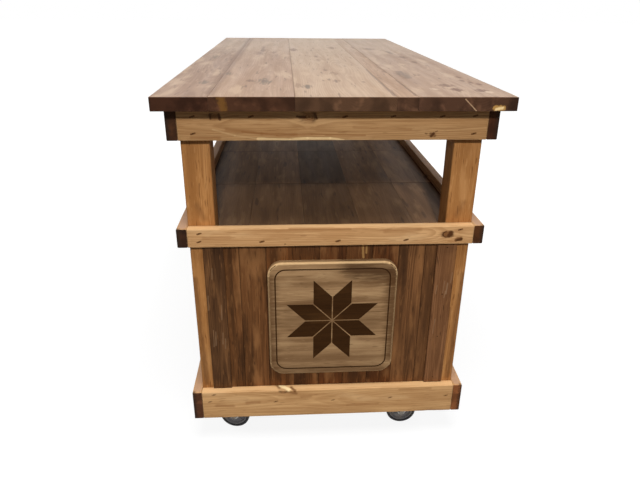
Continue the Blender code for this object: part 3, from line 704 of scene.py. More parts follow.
# Two bare streaks under the front middle rail: (from x, from z, to x, to z, width, strength)
FRONT_STREAKS = [(0.092, 0.712, 0.095, 0.662, 0.005, 0.9), (0.104, 0.712, 0.103, 0.676, 0.004, 0.8)]
for end, first_seed in (("front", 80), ("rear", 90)):
    node = f"end_panel_{end}"
    low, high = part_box(node)
    lines = (low.x, *PANEL_SEAMS, high.x)
    streaks = FRONT_STREAKS if end == "front" else ()
    shape, finishes = bmesh.new(), []
    for number, (left, right) in enumerate(zip(lines, lines[1:])):
        board_low = Vector((left + SEAM_GAP / 2, low.y, low.z))
        board_high = Vector((right - SEAM_GAP / 2, high.y, high.z))
        seed = first_seed + number
        saw_board(shape, board_low, board_high, "Z", PANEL_EASE, PANEL_WEAR, seed, slot=number)
        scars = [((x0, low.y, z0), (x1, low.y, z1), width, 0.3, BARE_STREAK, strength)
                 for x0, z0, x1, z1, width, strength in streaks if left < x0 < right]
        finishes.append(timber(f"{end} panel board {number + 1}", board_low, board_high, "Z", "Y",
                               {**walnut_rest, **walnut_sets[PANEL_TONES[number]]}, seed, 0.003, 0.05,
                               (0.03, -0.04), fibre=0.6, streak=0.7, fleck=0.6, coarse=1.2, blotch=0.8,
                               rubbed=0.25, scars=scars, rough=0.52, gloss=0.08))
    settle(f"{node}_boards", shape, finishes, "cart", "panel_wood", node)

# Trims
# Thin dark battens nailed over the joints between the end panels and the legs, between the middle
# rail and the base rail.
TRIM_EASE, TRIM_WEAR = 0.0014, 0.0007
TRIM_NAILS = (0.04, 0.35, 0.65, 0.96)        # shares of a trim's height
DRY_SCUFF = paint(156, 124, 94)
trim_tones = {"left": stain(early=(104, 70, 42), late=(54, 32, 16), streak=(54, 33, 18)),
              "right": stain(early=(141, 97, 63), late=(86, 54, 31), streak=(97, 62, 36))}
for end, facing in (("front", -1), ("rear", 1)):
    for side, tones in trim_tones.items():
        node = f"trim_{end}_{side}"
        low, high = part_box(node)
        face = low.y if facing < 0 else high.y
        middle = (low.x + high.x) / 2
        for share in TRIM_NAILS:
            spot = (middle, face, low.z + (high.z - low.z) * share)
            nails.append((Vector(spot), Vector((0, facing, 0))))
        chance = random.Random(len(nails))
        scratches = []
        for _ in range(7):
            x, z = chance.uniform(low.x, high.x), chance.uniform(low.z + 0.15, high.z - 0.06)
            top = z + chance.uniform(0.02, 0.06)
            scratches.append(((x, face, z), (x + 0.002, face, top), 0.0030, 0.0, DRY_SCUFF, 0.35))
        seed = 100 + len(nails)
        shape = saw_board(bmesh.new(), low, high, "Z", TRIM_EASE, TRIM_WEAR, seed)
        finish = timber(f"{end} {side} trim walnut", low, high, "Z", "Y", {**walnut_rest, **tones}, seed,
                        0.003, 0.04, fibre=0.7, streak=0.6, fleck=0.6, coarse=1.3, blotch=0.6,
                        rubbed=0.4, scars=scratches, rough=0.52, gloss=0.08)
        settle(f"{node}_batten", shape, [finish], "cart", "trim_wood", node)

# Plaque
# A thick plate of scorched, oiled wood with round corners and a rounded-over edge, screwed to the
# front panel. A plain quilt star and a border line are burnt a millimetre into its face.
PLAQUE_R = 0.043
PLAQUE_ROUND = 0.006
STAR_SIDE = 0.083
STAR_GAP = 0.0016        # uncut wood left between two rays
BURN_DEPTH = 0.0010
BORDER_IN = 0.020
BORDER_W = 0.004
CUT_OVER = 0.005         # how far a cutting tool stands out of the face it cuts
CUT_PAST = 0.001         # how far the tool inside the border passes it


def rounded_rectangle(width, height, radius, steps=10):
    """Outline of a rectangle with round corners about its own middle."""
    x, y = width / 2 - radius, height / 2 - radius
    outline = []
    for quarter, (sx, sy) in enumerate(((1, 1), (-1, 1), (-1, -1), (1, -1))):
        for i in range(steps + 1):
            turn = math.radians(90 * quarter + 90 * i / steps)
            point = (sx * x + radius * math.cos(turn), sy * y + radius * math.sin(turn))
            if not outline or math.dist(point, outline[-1]) > 1e-7:
                outline.append(point)
    return outline


def prism(outline, low, high):
    """An outline in the XY plane pulled up into a solid."""
    return loft(bmesh.new(), [[(x, y, z) for x, y in outline] for z in (low, high)])


def soft_plate(width, height, radius, low, high, ease, bends, steps=10, both=True):
    """A plate with round corners, its rims rounded over on both faces or only on the upper one."""
    turns = [math.pi / 2 * i / bends for i in range(bends + 1)]
    upper = [(ease * (1 - math.cos(t)), high - ease * (1 - math.sin(t))) for t in turns]
    lower = [(inset, low + high - z) for inset, z in reversed(upper)] if both else [(0, low)]
    rings = []
    for inset, z in lower + upper:
        outline = rounded_rectangle(width - 2 * inset, height - 2 * inset, radius - inset, steps)
        rings.append([(x, y, z) for x, y in outline])
    return loft(bmesh.new(), rings)


def loose(name, shape):
    """A shape as a loose object, for cutting with."""
    bmesh.ops.recalc_face_normals(shape, faces=shape.faces)
    mesh = bpy.data.meshes.new(name)
    shape.to_mesh(mesh)
    shape.free()
    made = bpy.data.objects.new(name, mesh)
    bpy.context.scene.collection.objects.link(made)
    return made


def carve(body, changes):
    """Join or cut a body with other shapes in turn, and give back the result as a new shape."""
    target = loose("work", body)
    tools = []
    for operation, shape in changes:
        tools.append(loose("tool", shape))
        step = target.modifiers.new(operation, "BOOLEAN")
        step.operation = operation
        step.object = tools[-1]
    graph = bpy.context.evaluated_depsgraph_get()
    result = bmesh.new()
    result.from_mesh(target.evaluated_get(graph).data)
    for spent in tools + [target]:
        bpy.data.objects.remove(spent)
    return result


low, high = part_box("plaque")
plaque_w, plaque_h, plaque_t = high.x - low.x, high.z - low.z, high.y - low.y
plaque_mid = (low + high) / 2
floor_z, over_z = plaque_t - BURN_DEPTH, plaque_t + CUT_OVER
ray_share = 1 - 2 * STAR_GAP / (STAR_SIDE * math.sin(math.pi / 4))
cuts = []
for ray in range(8):
    first, second = math.radians(45 * ray), math.radians(45 * ray + 45)
    a = Vector((math.cos(first), math.sin(first))) * STAR_SIDE
    b = Vector((math.cos(second), math.sin(second))) * STAR_SIDE
    centre = (a + b) / 2
    corners = [tuple(centre + (p - centre) * ray_share) for p in (Vector((0, 0)), a, a + b, b)]
    cuts.append(("DIFFERENCE", prism(corners, floor_z, over_z)))
border_w, border_h = plaque_w - 2 * BORDER_IN, plaque_h - 2 * BORDER_IN
border_r = PLAQUE_R - BORDER_IN / 2
border = prism(rounded_rectangle(border_w, border_h, border_r), floor_z, over_z)
inner = rounded_rectangle(border_w - 2 * BORDER_W, border_h - 2 * BORDER_W, border_r - BORDER_W)
within = prism(inner, floor_z - CUT_PAST, over_z + CUT_PAST)
cuts.append(("DIFFERENCE", carve(border, [("DIFFERENCE", within)])))
body = soft_plate(plaque_w, plaque_h, PLAQUE_R, 0, plaque_t, PLAQUE_ROUND, 5, both=False)
plate = carve(body, cuts)
for face in plate.faces:
    x, y, z = face.calc_center_median()
    deep = plaque_t - BURN_DEPTH * 1.2 < z < plaque_t - BURN_DEPTH * 0.2
    inside = abs(x) < plaque_w / 2 - PLAQUE_ROUND * 1.5 and abs(y) < plaque_h / 2 - PLAQUE_ROUND * 1.5
    face.material_index = 1 if deep and inside else 0
upright = Matrix.Translation((plaque_mid.x, high.y, plaque_mid.z)) @ Matrix.Rotation(math.pi / 2, 4, "X")
bmesh.ops.transform(plate, matrix=upright, verts=plate.verts)
plaque_tones = stain(early=(176, 141, 101), late=(119, 86, 54), streak=(110, 79, 50),
                     pale=(188, 154, 112), knot=(60, 36, 18), edge=(206, 170, 124), end=(190, 154, 110))
burnt_tones = stain(early=(60, 36, 14), late=(40, 23, 8), streak=(48, 27, 9), pale=(78, 50, 24),
                    knot=(30, 16, 6), edge=(50, 30, 12), end=(40, 24, 10))
# Scorched patches: (from x, from z, to x, to z, width, tone, strength)
SCORCHES = [(0.060, 0.640, 0.185, 0.615, 0.060, paint(64, 40, 20), 0.85),
            (0.185, 0.600, 0.196, 0.330, 0.040, paint(80, 52, 28), 0.8),
            (-0.188, 0.600, -0.190, 0.300, 0.045, paint(84, 56, 32), 0.8),
            (-0.160, 0.285, 0.160, 0.280, 0.035, paint(92, 62, 36), 0.6),
            (-0.120, 0.470, 0.130, 0.460, 0.075, paint(96, 68, 42), 0.5)]
# A pale line round the rounded-over rim: rubbed wear all round, made stronger along the top and upper
# right as a painted highlight
WORN_LIT_RIM = paint(210, 174, 126)
RIM_IN, RIM_DEEP = 0.002, 0.003        # the pale rim line's middle, in from the edge and from the face
RIM_LIT_SHARE = 0.36          # share of the plate's size past which its upper rim gets the strongest painted highlight
scorch_and_lit_rim = [((x0, low.y, z0), (x1, low.y, z1), width, 0.0, tone, strength)
          for x0, z0, x1, z1, width, tone, strength in SCORCHES]
rim_line = rounded_rectangle(plaque_w - 2 * RIM_IN, plaque_h - 2 * RIM_IN, PLAQUE_R - RIM_IN, 4)
rim_line = [Vector((plaque_mid.x + x, low.y + RIM_DEEP, plaque_mid.z + z)) for x, z in rim_line]
for start, stop in zip(rim_line, rim_line[1:] + rim_line[:1]):
    at = (start + stop) / 2 - plaque_mid
    upper = at.z > plaque_h * RIM_LIT_SHARE or (at.z > 0 and at.x > plaque_w * RIM_LIT_SHARE)
    scorch_and_lit_rim.append((start, stop, 0.006, 0.2, WORN_LIT_RIM, 0.75 if upper else 0.4))
wood_finish = timber("plaque wood", low, high, "X", "Y", plaque_tones, 131, 0.0036, 0.05, (0.05, -0.05),
                     streak=0.75, fleck=0.4, rubbed=0.7, scars=scorch_and_lit_rim, gloss=0.08)
burnt_finish = timber("burnt lines", low, high, "X", "Y", burnt_tones, 132, rough=0.7, gloss=0.05)
settle("plaque_plate", plate, [wood_finish, burnt_finish], "cart", "plaque_wood", "plaque", sharp=30)

# Shelf
# Dark stained boards, satin from handling, laid in four lengths inside the lip of the middle rails.
# They are nailed down to the bearers, and the end lengths are cut out round the legs.
SHELF_SEAMS = (-0.240, -0.075, 0.092, 0.257)
SHELF_EASE = 0.0002
shelf_tones = stain(early=(112, 82, 55), late=(78, 55, 37), streak=(72, 50, 33), pale=(140, 108, 76),
                    knot=(44, 29, 20), edge=(98, 71, 49), end=(60, 40, 29))
# How light each board of a length is, from the left, for the four lengths from the front
# Partly the boards' own tones, partly painted light and shade: the front length is darker as painted
# shade,
# and the right-hand boards are paler as painted light from the open side
BOARD_TONE_AND_SHADE = [(0.85, 0.85, 0.72, 0.98, 1.3), (1.1, 1.2, 0.55, 1.25, 1.6), (1.15, 1.15, 0.6, 1.25, 1.5),
               (1.05, 1.1, 0.75, 1.1, 1.2)]
for number, lights in enumerate(BOARD_TONE_AND_SHADE, 1):
    node = f"shelf_sheet_{number}"
    low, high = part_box(node)
    tone_sets = [{part: shade(tone, light) for part, tone in shelf_tones.items()} for light in lights]
    finishes = floor_finishes(f"shelf {number}", low, high, SHELF_SEAMS, tone_sets, 140 + 7 * number,
                              figure=0.25, fibre=0.4, streak=0.4, fleck=0.5, coarse=3.0, rubbed=0.05,
                              rough=0.42, gloss=0.08)
    shape = lay_floor(low, high, SHELF_SEAMS, SHELF_EASE)
    settle(f"{node}_boards", shape, finishes, "cart", "shelf_wood", node, sharp=12)

# Top
# Thick planks of unlike widths and tones, sanded and oiled, glued side by side and screwed down to
# the aprons. They have knots, scuffs and stain pooled along some joints, and dark end grain.
PLANK_EASE, PLANK_WEAR = 0.0008, 0.0008
PLANK_DROP = (0.0004, 0.0, 0.0003, 0.0006, 0.0002)        # how far each plank has worn down
plank_tones = [
    stain(early=(151, 121, 98), late=(120, 91, 70), streak=(121, 92, 72), end=(66, 40, 27)),
    stain(early=(163, 132, 107), late=(133, 102, 78), streak=(136, 106, 82), end=(74, 47, 32)),
    stain(early=(172, 144, 117), late=(144, 115, 88), streak=(149, 120, 94), end=(87, 61, 43)),
    stain(early=(164, 132, 104), late=(130, 98, 72), streak=(135, 103, 77), end=(82, 56, 40)),
    stain(early=(161, 132, 108), late=(130, 100, 77), streak=(134, 105, 83), end=(80, 54, 39))]
plank_rest = stain(pale=(176, 148, 121), knot=(82, 54, 35), edge=(128, 97, 73))
# Knots of each plank as (distance along the cart, across it, radius)
PLANK_KNOTS = [
    [(-0.071, -0.400, 0.007), (-0.762, -0.355, 0.006), (0.450, -0.400, 0.006)],
    [(-0.736, -0.186, 0.009), (-0.724, -0.228, 0.007), (0.132, -0.174, 0.006), (0.220, -0.218, 0.007)],
    [(0.267, -0.086, 0.010), (-0.832, -0.067, 0.008), (-0.030, 0.000, 0.005), (-0.723, 0.022, 0.006),
     (0.372, 0.095, 0.007), (-0.470, 0.007, 0.005), (-0.744, 0.100, 0.005)],
    [(-0.506, 0.204, 0.006), (0.404, 0.204, 0.007)],
    [(0.321, 0.261, 0.010), (0.149, 0.332, 0.008), (-0.042, 0.352, 0.009), (-0.223, 0.362, 0.007),
     (-0.641, 0.408, 0.006), (-0.715, 0.397, 0.006), (-0.750, 0.412, 0.006), (-0.785, 0.427, 0.006),
     (-0.808, 0.322, 0.010), (-0.886, 0.332, 0.008), (-0.899, 0.394, 0.007)]]
STAIN = paint(96, 60, 33)
GREY_STAIN = paint(84, 66, 48)
SCUFF = paint(206, 182, 156)
# Soft marks on the planks: (from x, to x, middle y, half length, tone, strength)
TOP_MARKS = [
    (-0.108, -0.065, 0.267, 0.050, STAIN, 0.70), (-0.250, -0.225, 0.100, 0.050, STAIN, 0.45),
    (-0.235, -0.200, 0.220, 0.050, STAIN, 0.50), (-0.186, -0.161, 0.132, 0.040, STAIN, 0.55),
    (-0.418, -0.382, -0.071, 0.050, GREY_STAIN, 0.60), (-0.310, -0.290, -0.578, 0.030, GREY_STAIN, 0.60),
    (-0.243, -0.212, -0.724, 0.020, STAIN, 0.60), (-0.209, -0.163, -0.736, 0.045, GREY_STAIN, 0.65),
    (-0.375, -0.334, -0.762, 0.020, GREY_STAIN, 0.55), (-0.103, -0.082, -0.812, 0.030, STAIN, 0.40),
    (-0.080, -0.055, -0.832, 0.028, GREY_STAIN, 0.80), (-0.001, 0.015, -0.470, 0.025, STAIN, 0.45),
    (0.020, 0.045, -0.560, 0.025, STAIN, 0.40), (0.011, 0.033, -0.723, 0.020, STAIN, 0.50),
    (0.078, 0.112, 0.372, 0.040, STAIN, 0.55), (-0.008, 0.008, -0.170, 0.030, STAIN, 0.50),
    (-0.008, 0.008, -0.030, 0.030, STAIN, 0.50), (0.192, 0.208, 0.404, 0.050, STAIN, 0.55),
    (0.232, 0.290, 0.321, 0.040, STAIN, 0.55), (0.320, 0.344, 0.149, 0.050, GREY_STAIN, 0.60),
    (0.329, 0.375, -0.042, 0.035, STAIN, 0.60), (0.352, 0.372, -0.223, 0.030, STAIN, 0.75),
    (0.192, 0.208, -0.506, 0.025, STAIN, 0.60), (0.228, 0.273, -0.580, 0.060, GREY_STAIN, 0.50),
    (0.400, 0.416, -0.641, 0.018, STAIN, 0.75), (0.389, 0.405, -0.715, 0.014, STAIN, 0.70),
    (0.404, 0.420, -0.750, 0.014, STAIN, 0.70), (0.418, 0.435, -0.785, 0.014, STAIN, 0.70),
    (0.298, 0.347, -0.808, 0.018, STAIN, 0.80), (0.316, 0.348, -0.886, 0.022, STAIN, 0.95),
    (0.374, 0.410, -0.897, 0.018, STAIN, 0.95), (0.393, 0.420, -0.926, 0.012, SCUFF, 0.45),
    (0.262, 0.285, -0.875, 0.010, SCUFF, 0.40)]
MARK_LONG, MARK_WIDE = 1.35, 0.75        # a mark's line and width, as shares of its size
# Painted sheen: the far end of the planks is painted paler, for the glare that a low view gives there
FAR_SHEEN = paint(196, 172, 148)
FAR_SHEEN_FROM, FAR_SHEEN_TO, FAR_SHEEN_W = 0.55, 1.0, 0.75        # far end, painted paler as sheen
POOLED = paint(104, 74, 52)
# Stain pooled along the planks' joints: (from x, from y, to x, to y, width, full share, strength)
POOLED_STAIN = {
    1: [(-0.320, -0.95, -0.318, 0.95, 0.018, 0.1, 0.6)],
    2: [(-0.312, -0.98, -0.306, 0.95, 0.014, 0.1, 0.5), (-0.226, 0.05, -0.224, 0.42, 0.014, 0.0, 0.6)],
    3: [(0.147, -0.99, 0.149, -0.45, 0.007, 0.3, 0.8)],
    4: [(0.201, -0.98, 0.203, -0.70, 0.006, 0.3, 0.8)],
    5: [(0.242, -0.67, 0.246, -0.50, 0.022, 0.1, 0.6)]}
GOLD_PATCH = paint(112, 76, 34)
PALE_SCRATCH = paint(168, 136, 104)
BARE_CHIP = paint(170, 128, 70)
CHIP_HEART = paint(230, 200, 146)
CORNER_DARK = paint(40, 26, 18)
# Marks on the front end grain: (from x, below the top, to x, below the top, width, full share, tone,
# strength)
END_MARKS = {
    1: [(-0.457, 0.004, -0.457, 0.031, 0.007, 0.0, CORNER_DARK, 0.8)],
    2: [(-0.284, 0.004, -0.279, 0.031, 0.015, 0.2, GOLD_PATCH, 0.7)],
    3: [],
    4: [],
    5: [(0.321, 0.005, 0.353, 0.035, 0.0018, 0.3, PALE_SCRATCH, 0.9),
        (0.452, 0.002, 0.452, 0.033, 0.026, 0.2, CORNER_DARK, 0.75),
        (0.399, 0.027, 0.420, 0.027, 0.0085, 0.5, BARE_CHIP, 0.9),
        (0.402, 0.030, 0.418, 0.027, 0.0055, 0.2, CHIP_HEART, 0.9)]}
front_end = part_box("top_board_1")[0].y
top_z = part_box("top_board_1")[1].z
for number in range(1, 6):
    node = f"top_board_{number}"
    low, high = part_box(node)
    seed = 160 + number
    tones = {**plank_rest, **plank_tones[number - 1]}
    middle = (low.x + high.x) / 2
    # The painted sheen band on the far end of the plank
    sheen_band = ((middle, FAR_SHEEN_FROM, top_z), (middle, FAR_SHEEN_TO, top_z))
    marks = [(*sheen_band, FAR_SHEEN_W, 0.0, FAR_SHEEN, 0.35)]
    marks += [((x0, y0, top_z), (x1, y1, top_z), width, core, POOLED, strength)
              for x0, y0, x1, y1, width, core, strength in POOLED_STAIN[number]]
    for left, right, y, half, tone, strength in TOP_MARKS:
        x, reach = (left + right) / 2, MARK_LONG * half
        if low.x < x < high.x:
            width = (right - left) * MARK_WIDE
            marks.append(((x, y - reach, top_z), (x, y + reach, top_z), width, 0.1, tone, strength, 1.0))
    end_marks = [((x0, front_end, top_z - drop0), (x1, front_end, top_z - drop1), *look)
                 for x0, drop0, x1, drop1, *look in END_MARKS[number]]
    grain = (low, high, "Y", "Z", tones, seed, 0.0036, 0.06, (0.03, -0.07))
    finish = timber(f"top plank {number}", *grain, fibre=0.5, streak=0.6, fleck=0.6, coarse=2.2,
                    blotch=0.7, knots=PLANK_KNOTS[number - 1], stretch=2.4, heart=0.6, rim=0.3,
                    scars=marks, rough=0.34, gloss=0.18)
    sawn_end = timber(f"top plank {number} end grain", *grain, scars=end_marks, gloss=0.05)
    worn_high = Vector((high.x, high.y, high.z - PLANK_DROP[number - 1]))
    shape = saw_board(bmesh.new(), low, worn_high, "Y", PLANK_EASE, PLANK_WEAR, seed, nicks=7)
    shape.normal_update()
    for face in shape.faces:
        face.material_index = 1 if abs(face.normal.y) > 0.9 else 0
    settle(f"{node}_plank", shape, [finish, sawn_end], "cart", "top_wood", node)

# Nails
# Small steel nails driven through the rails and trims, their heads a little proud and darkened by
# the stain that pooled round them.


def make_driven_heads():
    """Geometry nodes that set a fastener head on every point, facing along the point's aim."""
    tree = bpy.data.node_groups.new("driven heads", "GeometryNodeTree")
    inputs = {"Geometry": "Geometry", "Sides": "Int", "Head Radius": "Float", "Top Radius": "Float",
              "Head Height": "Float", "Tilt": "Float", "Seed": "Int", "Finish": "Material"}
    for label, kind in inputs.items():
        tree.interface.new_socket(label, in_out="INPUT", socket_type="NodeSocket" + kind)
    tree.interface.new_socket("Geometry", in_out="OUTPUT", socket_type="NodeSocketGeometry")
    kinds = {"given": "NodeGroupInput", "head": "GeometryNodeMeshCone",
             "aim": "GeometryNodeInputNamedAttribute", "turn": "FunctionNodeAlignRotationToVector",
             "place": "GeometryNodeInstanceOnPoints", "minus": "ShaderNodeMath",
             "low": "ShaderNodeCombineXYZ", "high": "ShaderNodeCombineXYZ",
             "lean": "FunctionNodeRandomValue", "rock": "GeometryNodeRotateInstances",
             "real": "GeometryNodeRealizeInstances", "paint": "GeometryNodeSetMaterial",
             "out": "NodeGroupOutput"}
    made = {label: tree.nodes.new(kind) for label, kind in kinds.items()}
    made["aim"].data_type = "FLOAT_VECTOR"
    made["aim"].inputs["Name"].default_value = "aim"
    made["turn"].axis = "Z"
    made["lean"].data_type = "FLOAT_VECTOR"
    made["minus"].operation = "MULTIPLY"
    made["minus"].inputs[1].default_value = -1.0
    made["low"].inputs["Z"].default_value = -math.pi
    made["high"].inputs["Z"].default_value = math.pi
    links = (("given", "Geometry", "place", "Points"), ("given", "Sides", "head", "Vertices"),
             ("given", "Head Radius", "head", "Radius Bottom"),
             ("given", "Top Radius", "head", "Radius Top"), ("given", "Head Height", "head", "Depth"),
             ("head", "Mesh", "place", "Instance"), ("aim", "Attribute", "turn", "Vector"),
             ("turn", "Rotation", "place", "Rotation"), ("given", "Tilt", "high", "X"),
             ("given", "Tilt", "high", "Y"), ("given", "Tilt", "minus", 0), ("minus", 0, "low", "X"),
             ("minus", 0, "low", "Y"), ("low", "Vector", "lean", "Min"),
             ("high", "Vector", "lean", "Max"), ("given", "Seed", "lean", "Seed"),
             ("place", "Instances", "rock", "Instances"), ("lean", "Value", "rock", "Rotation"),
             ("rock", "Instances", "real", "Geometry"), ("real", "Geometry", "paint", "Geometry"),
             ("given", "Finish", "paint", "Material"), ("paint", "Geometry", "out", "Geometry"))
    for source, output, target, entry in links:
        tree.links.new(made[source].outputs[output], made[target].inputs[entry])
    return tree


driven_heads = make_driven_heads()


def drive(name, places, sides, radius, top_radius, height, tilt, seed, finish):
    """One piece of the cart made of a head on each place, given as (point, aim) pairs."""
    sizes = {"Sides": sides, "Head Radius": radius, "Top Radius": top_radius, "Head Height": height,
             "Tilt": tilt, "Seed": seed, "Finish": finish}
    mesh = bpy.data.meshes.new(name)
    mesh.from_pydata([tuple(point) for point, _ in places], [], [])
    aims = mesh.attributes.new("aim", "FLOAT_VECTOR", "POINT")
    aims.data.foreach_set("vector", [c for _, aim in places for c in aim])
    piece = bpy.data.objects.new(name, mesh)
    bpy.context.scene.collection.objects.link(piece)
    nodes = piece.modifiers.new("heads", "NODES")
    nodes.node_group = driven_heads
    for item in driven_heads.interface.items_tree:
        if item.in_out == "INPUT" and item.name in sizes:
            nodes[item.identifier] = sizes[item.name]
    graph = bpy.context.evaluated_depsgraph_get()
    real = bpy.data.meshes.new_from_object(piece.evaluated_get(graph))
    piece.modifiers.clear()
    piece.data = real
    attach(piece, "cart")


def make_plating():
    """Uneven metal: fine clouds in its plating, and patches that hold grime."""
    inputs = {"Place": "Vector", "Scale": "Float"}
    tree, given, out = effect("uneven plating", inputs, ("Cloud", "Patch"))
    fine = grow(tree, given["Place"], given["Scale"])
    wide = grow(tree, given["Place"], calc(tree, "DIVIDE", given["Scale"], 6.0))
    put_out(tree, out, Cloud=clouds(tree, fine, 4.0), Patch=clouds(tree, wide, 3.0))
    return tree


plating = make_plating()


def metal(name, tone, rough, grime, grime_share, scale=220):
    """Steel with uneven plating: cloudy tone, cloudy gloss and grime in patches."""
    finish, tree = new_finish(name, Metallic=1.0)
    uneven = apply_effect(tree, plating, {"Place": wire(tree, "TexCoord", {})["Object"], "Scale": scale})
    colour = tint(tree, ease_in(tree, uneven["Cloud"], 0.3, 0.7), shade(tone, 0.72), tone)
    dirty = times(tree, ease_in(tree, uneven["Patch"], 0.5, 0.75), grime_share)
    colour = tint(tree, dirty, colour, grime)
    dull = calc(tree, "ADD", rough, times(tree, uneven["Patch"], 0.25))
    coat(tree, colour, dull, uneven["Cloud"], 0.15, 0.0002)
    return finish


NAIL_R, NAIL_TOP_R, NAIL_H = 0.0019, 0.0014, 0.0005
nail_steel = metal("stained nail steel", paint(74, 50, 30), 0.6, paint(44, 26, 12), 0.8, 900)
drive("nail_heads", nails, 14, NAIL_R, NAIL_TOP_R, NAIL_H, tilt=0.05, seed=4, finish=nail_steel)

# Caster plates
# Pressed zinc-plated plates with slotted corners, the upper bearing cup and the king pin, whose head
# is riveted over under the fork. Four hexagon lag screws with washers hold each plate to its bolster.
PLATE_T = 0.0032
PLATE_R = 0.008
PLATE_EASE = 0.0005
SLOT_W, SLOT_L, SLOT_EDGE = 0.0085, 0.013, 0.011
CUP_R, CUP_H, CUP_WALL = 0.028, 0.007, 0.005
PIN_R, PIN_HEAD_R, PIN_HEAD_T = 0.006, 0.010, 0.004
LAG_R, LAG_H = 0.0052, 0.0036
WASHER_R, WASHER_H = 0.0078, 0.0010
CUP_STRAIGHT, CUP_BULGE = 0.45, 0.0006        # share of the cup's height, and its rounding
HEAD_STRAIGHT, HEAD_BULGE = 0.4, 0.0008       # the same for the king pin's riveted head
SLOT_OVER = 0.003        # how far the slots' cutter stands out of the plate


def lathe(profile, sides, along="Z"):
    """Spin a closed profile of (radius, height) points once round an axis."""
    shape = bmesh.new()
    turns = [2 * math.pi * i / sides for i in range(sides)]
    rows = []
    for radius, height in profile:
        angles = turns if radius else turns[:1]
        ring = [(radius * math.cos(t), radius * math.sin(t), height) for t in angles]
        ring = [(x, -z, y) for x, y, z in ring] if along == "Y" else ring
        rows.append([shape.verts.new(point) for point in ring])
    for near, far in zip(rows, rows[1:] + rows[:1]):
        for i in range(sides):
            before = (i or sides) - 1
            loop = [near[before % len(near)], near[i % len(near)],
                    far[i % len(far)], far[before % len(far)]]
            loop = list(dict.fromkeys(loop))
            if len(loop) > 2:
                shape.faces.new(loop)
    return shape


def bowed(r0, h0, r1, h1, bulge, steps=4):
    """A profile's points from one place to another along a shallow curve that bulges outwards."""
    length = math.hypot(r1 - r0, h1 - h0)
    points = []
    for i in range(steps + 1):
        t = i / steps
        lift = 4 * t * (1 - t) * bulge
        points.append((r0 + (r1 - r0) * t + lift * (h0 - h1) / length,
                       h0 + (h1 - h0) * t + lift * (r1 - r0) / length))
    return points


zinc = metal("bright zinc", paint(196, 198, 202), 0.26, paint(120, 112, 100), 0.5)
plate_low, plate_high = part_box("caster_plate_front_left")
plate_under, plate_top = plate_high.z - PLATE_T, plate_high.z
cup_under = plate_under - CUP_H
head_top = plate_low.z + PIN_HEAD_T
cup_and_pin = [(0, plate_under + PLATE_T / 2), (CUP_R, plate_under + PLATE_T / 2)]
cup_and_pin += bowed(CUP_R, plate_under - CUP_H * CUP_STRAIGHT, CUP_R - CUP_WALL / 2, cup_under,
                     CUP_BULGE)
cup_and_pin += [(CUP_R - CUP_WALL, cup_under), (CUP_R - 2 * CUP_WALL, plate_under), (PIN_R, plate_under),
                (PIN_R, head_top), (PIN_HEAD_R, head_top)]
cup_and_pin += bowed(PIN_HEAD_R, head_top - PIN_HEAD_T * HEAD_STRAIGHT, PIN_R, plate_low.z, HEAD_BULGE)
cup_and_pin.append((0, plate_low.z))
plate_centre = {}
lag_places, washer_places = [], []
for corner in CORNERS:
    node = f"caster_plate_{corner}"
    low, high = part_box(node)
    centre = (low + high) / 2
    plate_centre[corner] = Vector((centre.x, centre.y, 0))
    wide, long = high.x - low.x, high.y - low.y
    changes = [("UNION", lathe(cup_and_pin, 48))]
    for sx in (-1, 1):
        for sy in (-1, 1):
            across, lengthwise = sx * (wide / 2 - SLOT_EDGE), sy * (long / 2 - SLOT_EDGE)
            outline = rounded_rectangle(SLOT_W, SLOT_L, SLOT_W / 2, 6)
            slot = prism(outline, plate_under - SLOT_OVER, plate_top + SLOT_OVER)
            bmesh.ops.translate(slot, vec=(across, lengthwise, 0), verts=slot.verts)
            changes.append(("DIFFERENCE", slot))
            where = plate_centre[corner] + Vector((across, lengthwise, plate_under))
            washer_places.append((where, Vector((0, 0, -1))))
            lag_places.append((where - Vector((0, 0, WASHER_H)), Vector((0, 0, -1))))
    shape = carve(soft_plate(wide, long, PLATE_R, plate_under, plate_top, PLATE_EASE, 2, 8), changes)
    bmesh.ops.translate(shape, vec=plate_centre[corner], verts=shape.verts)
    settle(f"{node}_pressing", shape, [zinc], "cart", "plate_steel", node, sharp=32)
lag_steel = metal("dull zinc", paint(158, 158, 154), 0.36, paint(96, 84, 66), 0.6, 500)
drive("plate_washers", washer_places, 24, WASHER_R, WASHER_R * 0.96, WASHER_H, tilt=0.0, seed=1,
      finish=lag_steel)
drive("plate_lag_screws", lag_places, 6, LAG_R, LAG_R * 0.93, LAG_H, tilt=0.0, seed=2,
      finish=lag_steel)

# Forks
# Each fork is one pressing: a crown with the lower bearing race, bent down into two arms that taper
# to round eyes for the axle. Zinc plated, with grime in patches.
TRAIL = 0.028            # axle behind the king pin
WHEEL_R = 0.050
FORK_IN, FORK_OUT = 0.0178, 0.0208
FORK_SHEET = 0.003
EYE_R = 0.013
FORK_BEND = 0.006
CROWN_FRONT, CROWN_BACK, CROWN_SKIRT = 0.026, 0.030, 0.008
RACE_R, RACE_H = 0.025, 0.006
RACE_IN = 0.0015         # race let into the crown
RACE_BULGE = 0.0008
PIN_HOLE = 0.0066
AXLE_HOLE = 0.00505
fork_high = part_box("caster_fork_front_left")[1].z
crown_top = fork_high - RACE_H
crown_under = crown_top - FORK_SHEET


def touch(px, pz, side):
    """Angle on the axle eye's edge where the straight side of an arm runs into it."""
    away = math.atan2(pz - WHEEL_R, px - TRAIL)
    return math.degrees(away + side * math.acos(EYE_R / math.hypot(px - TRAIL, pz - WHEEL_R)))


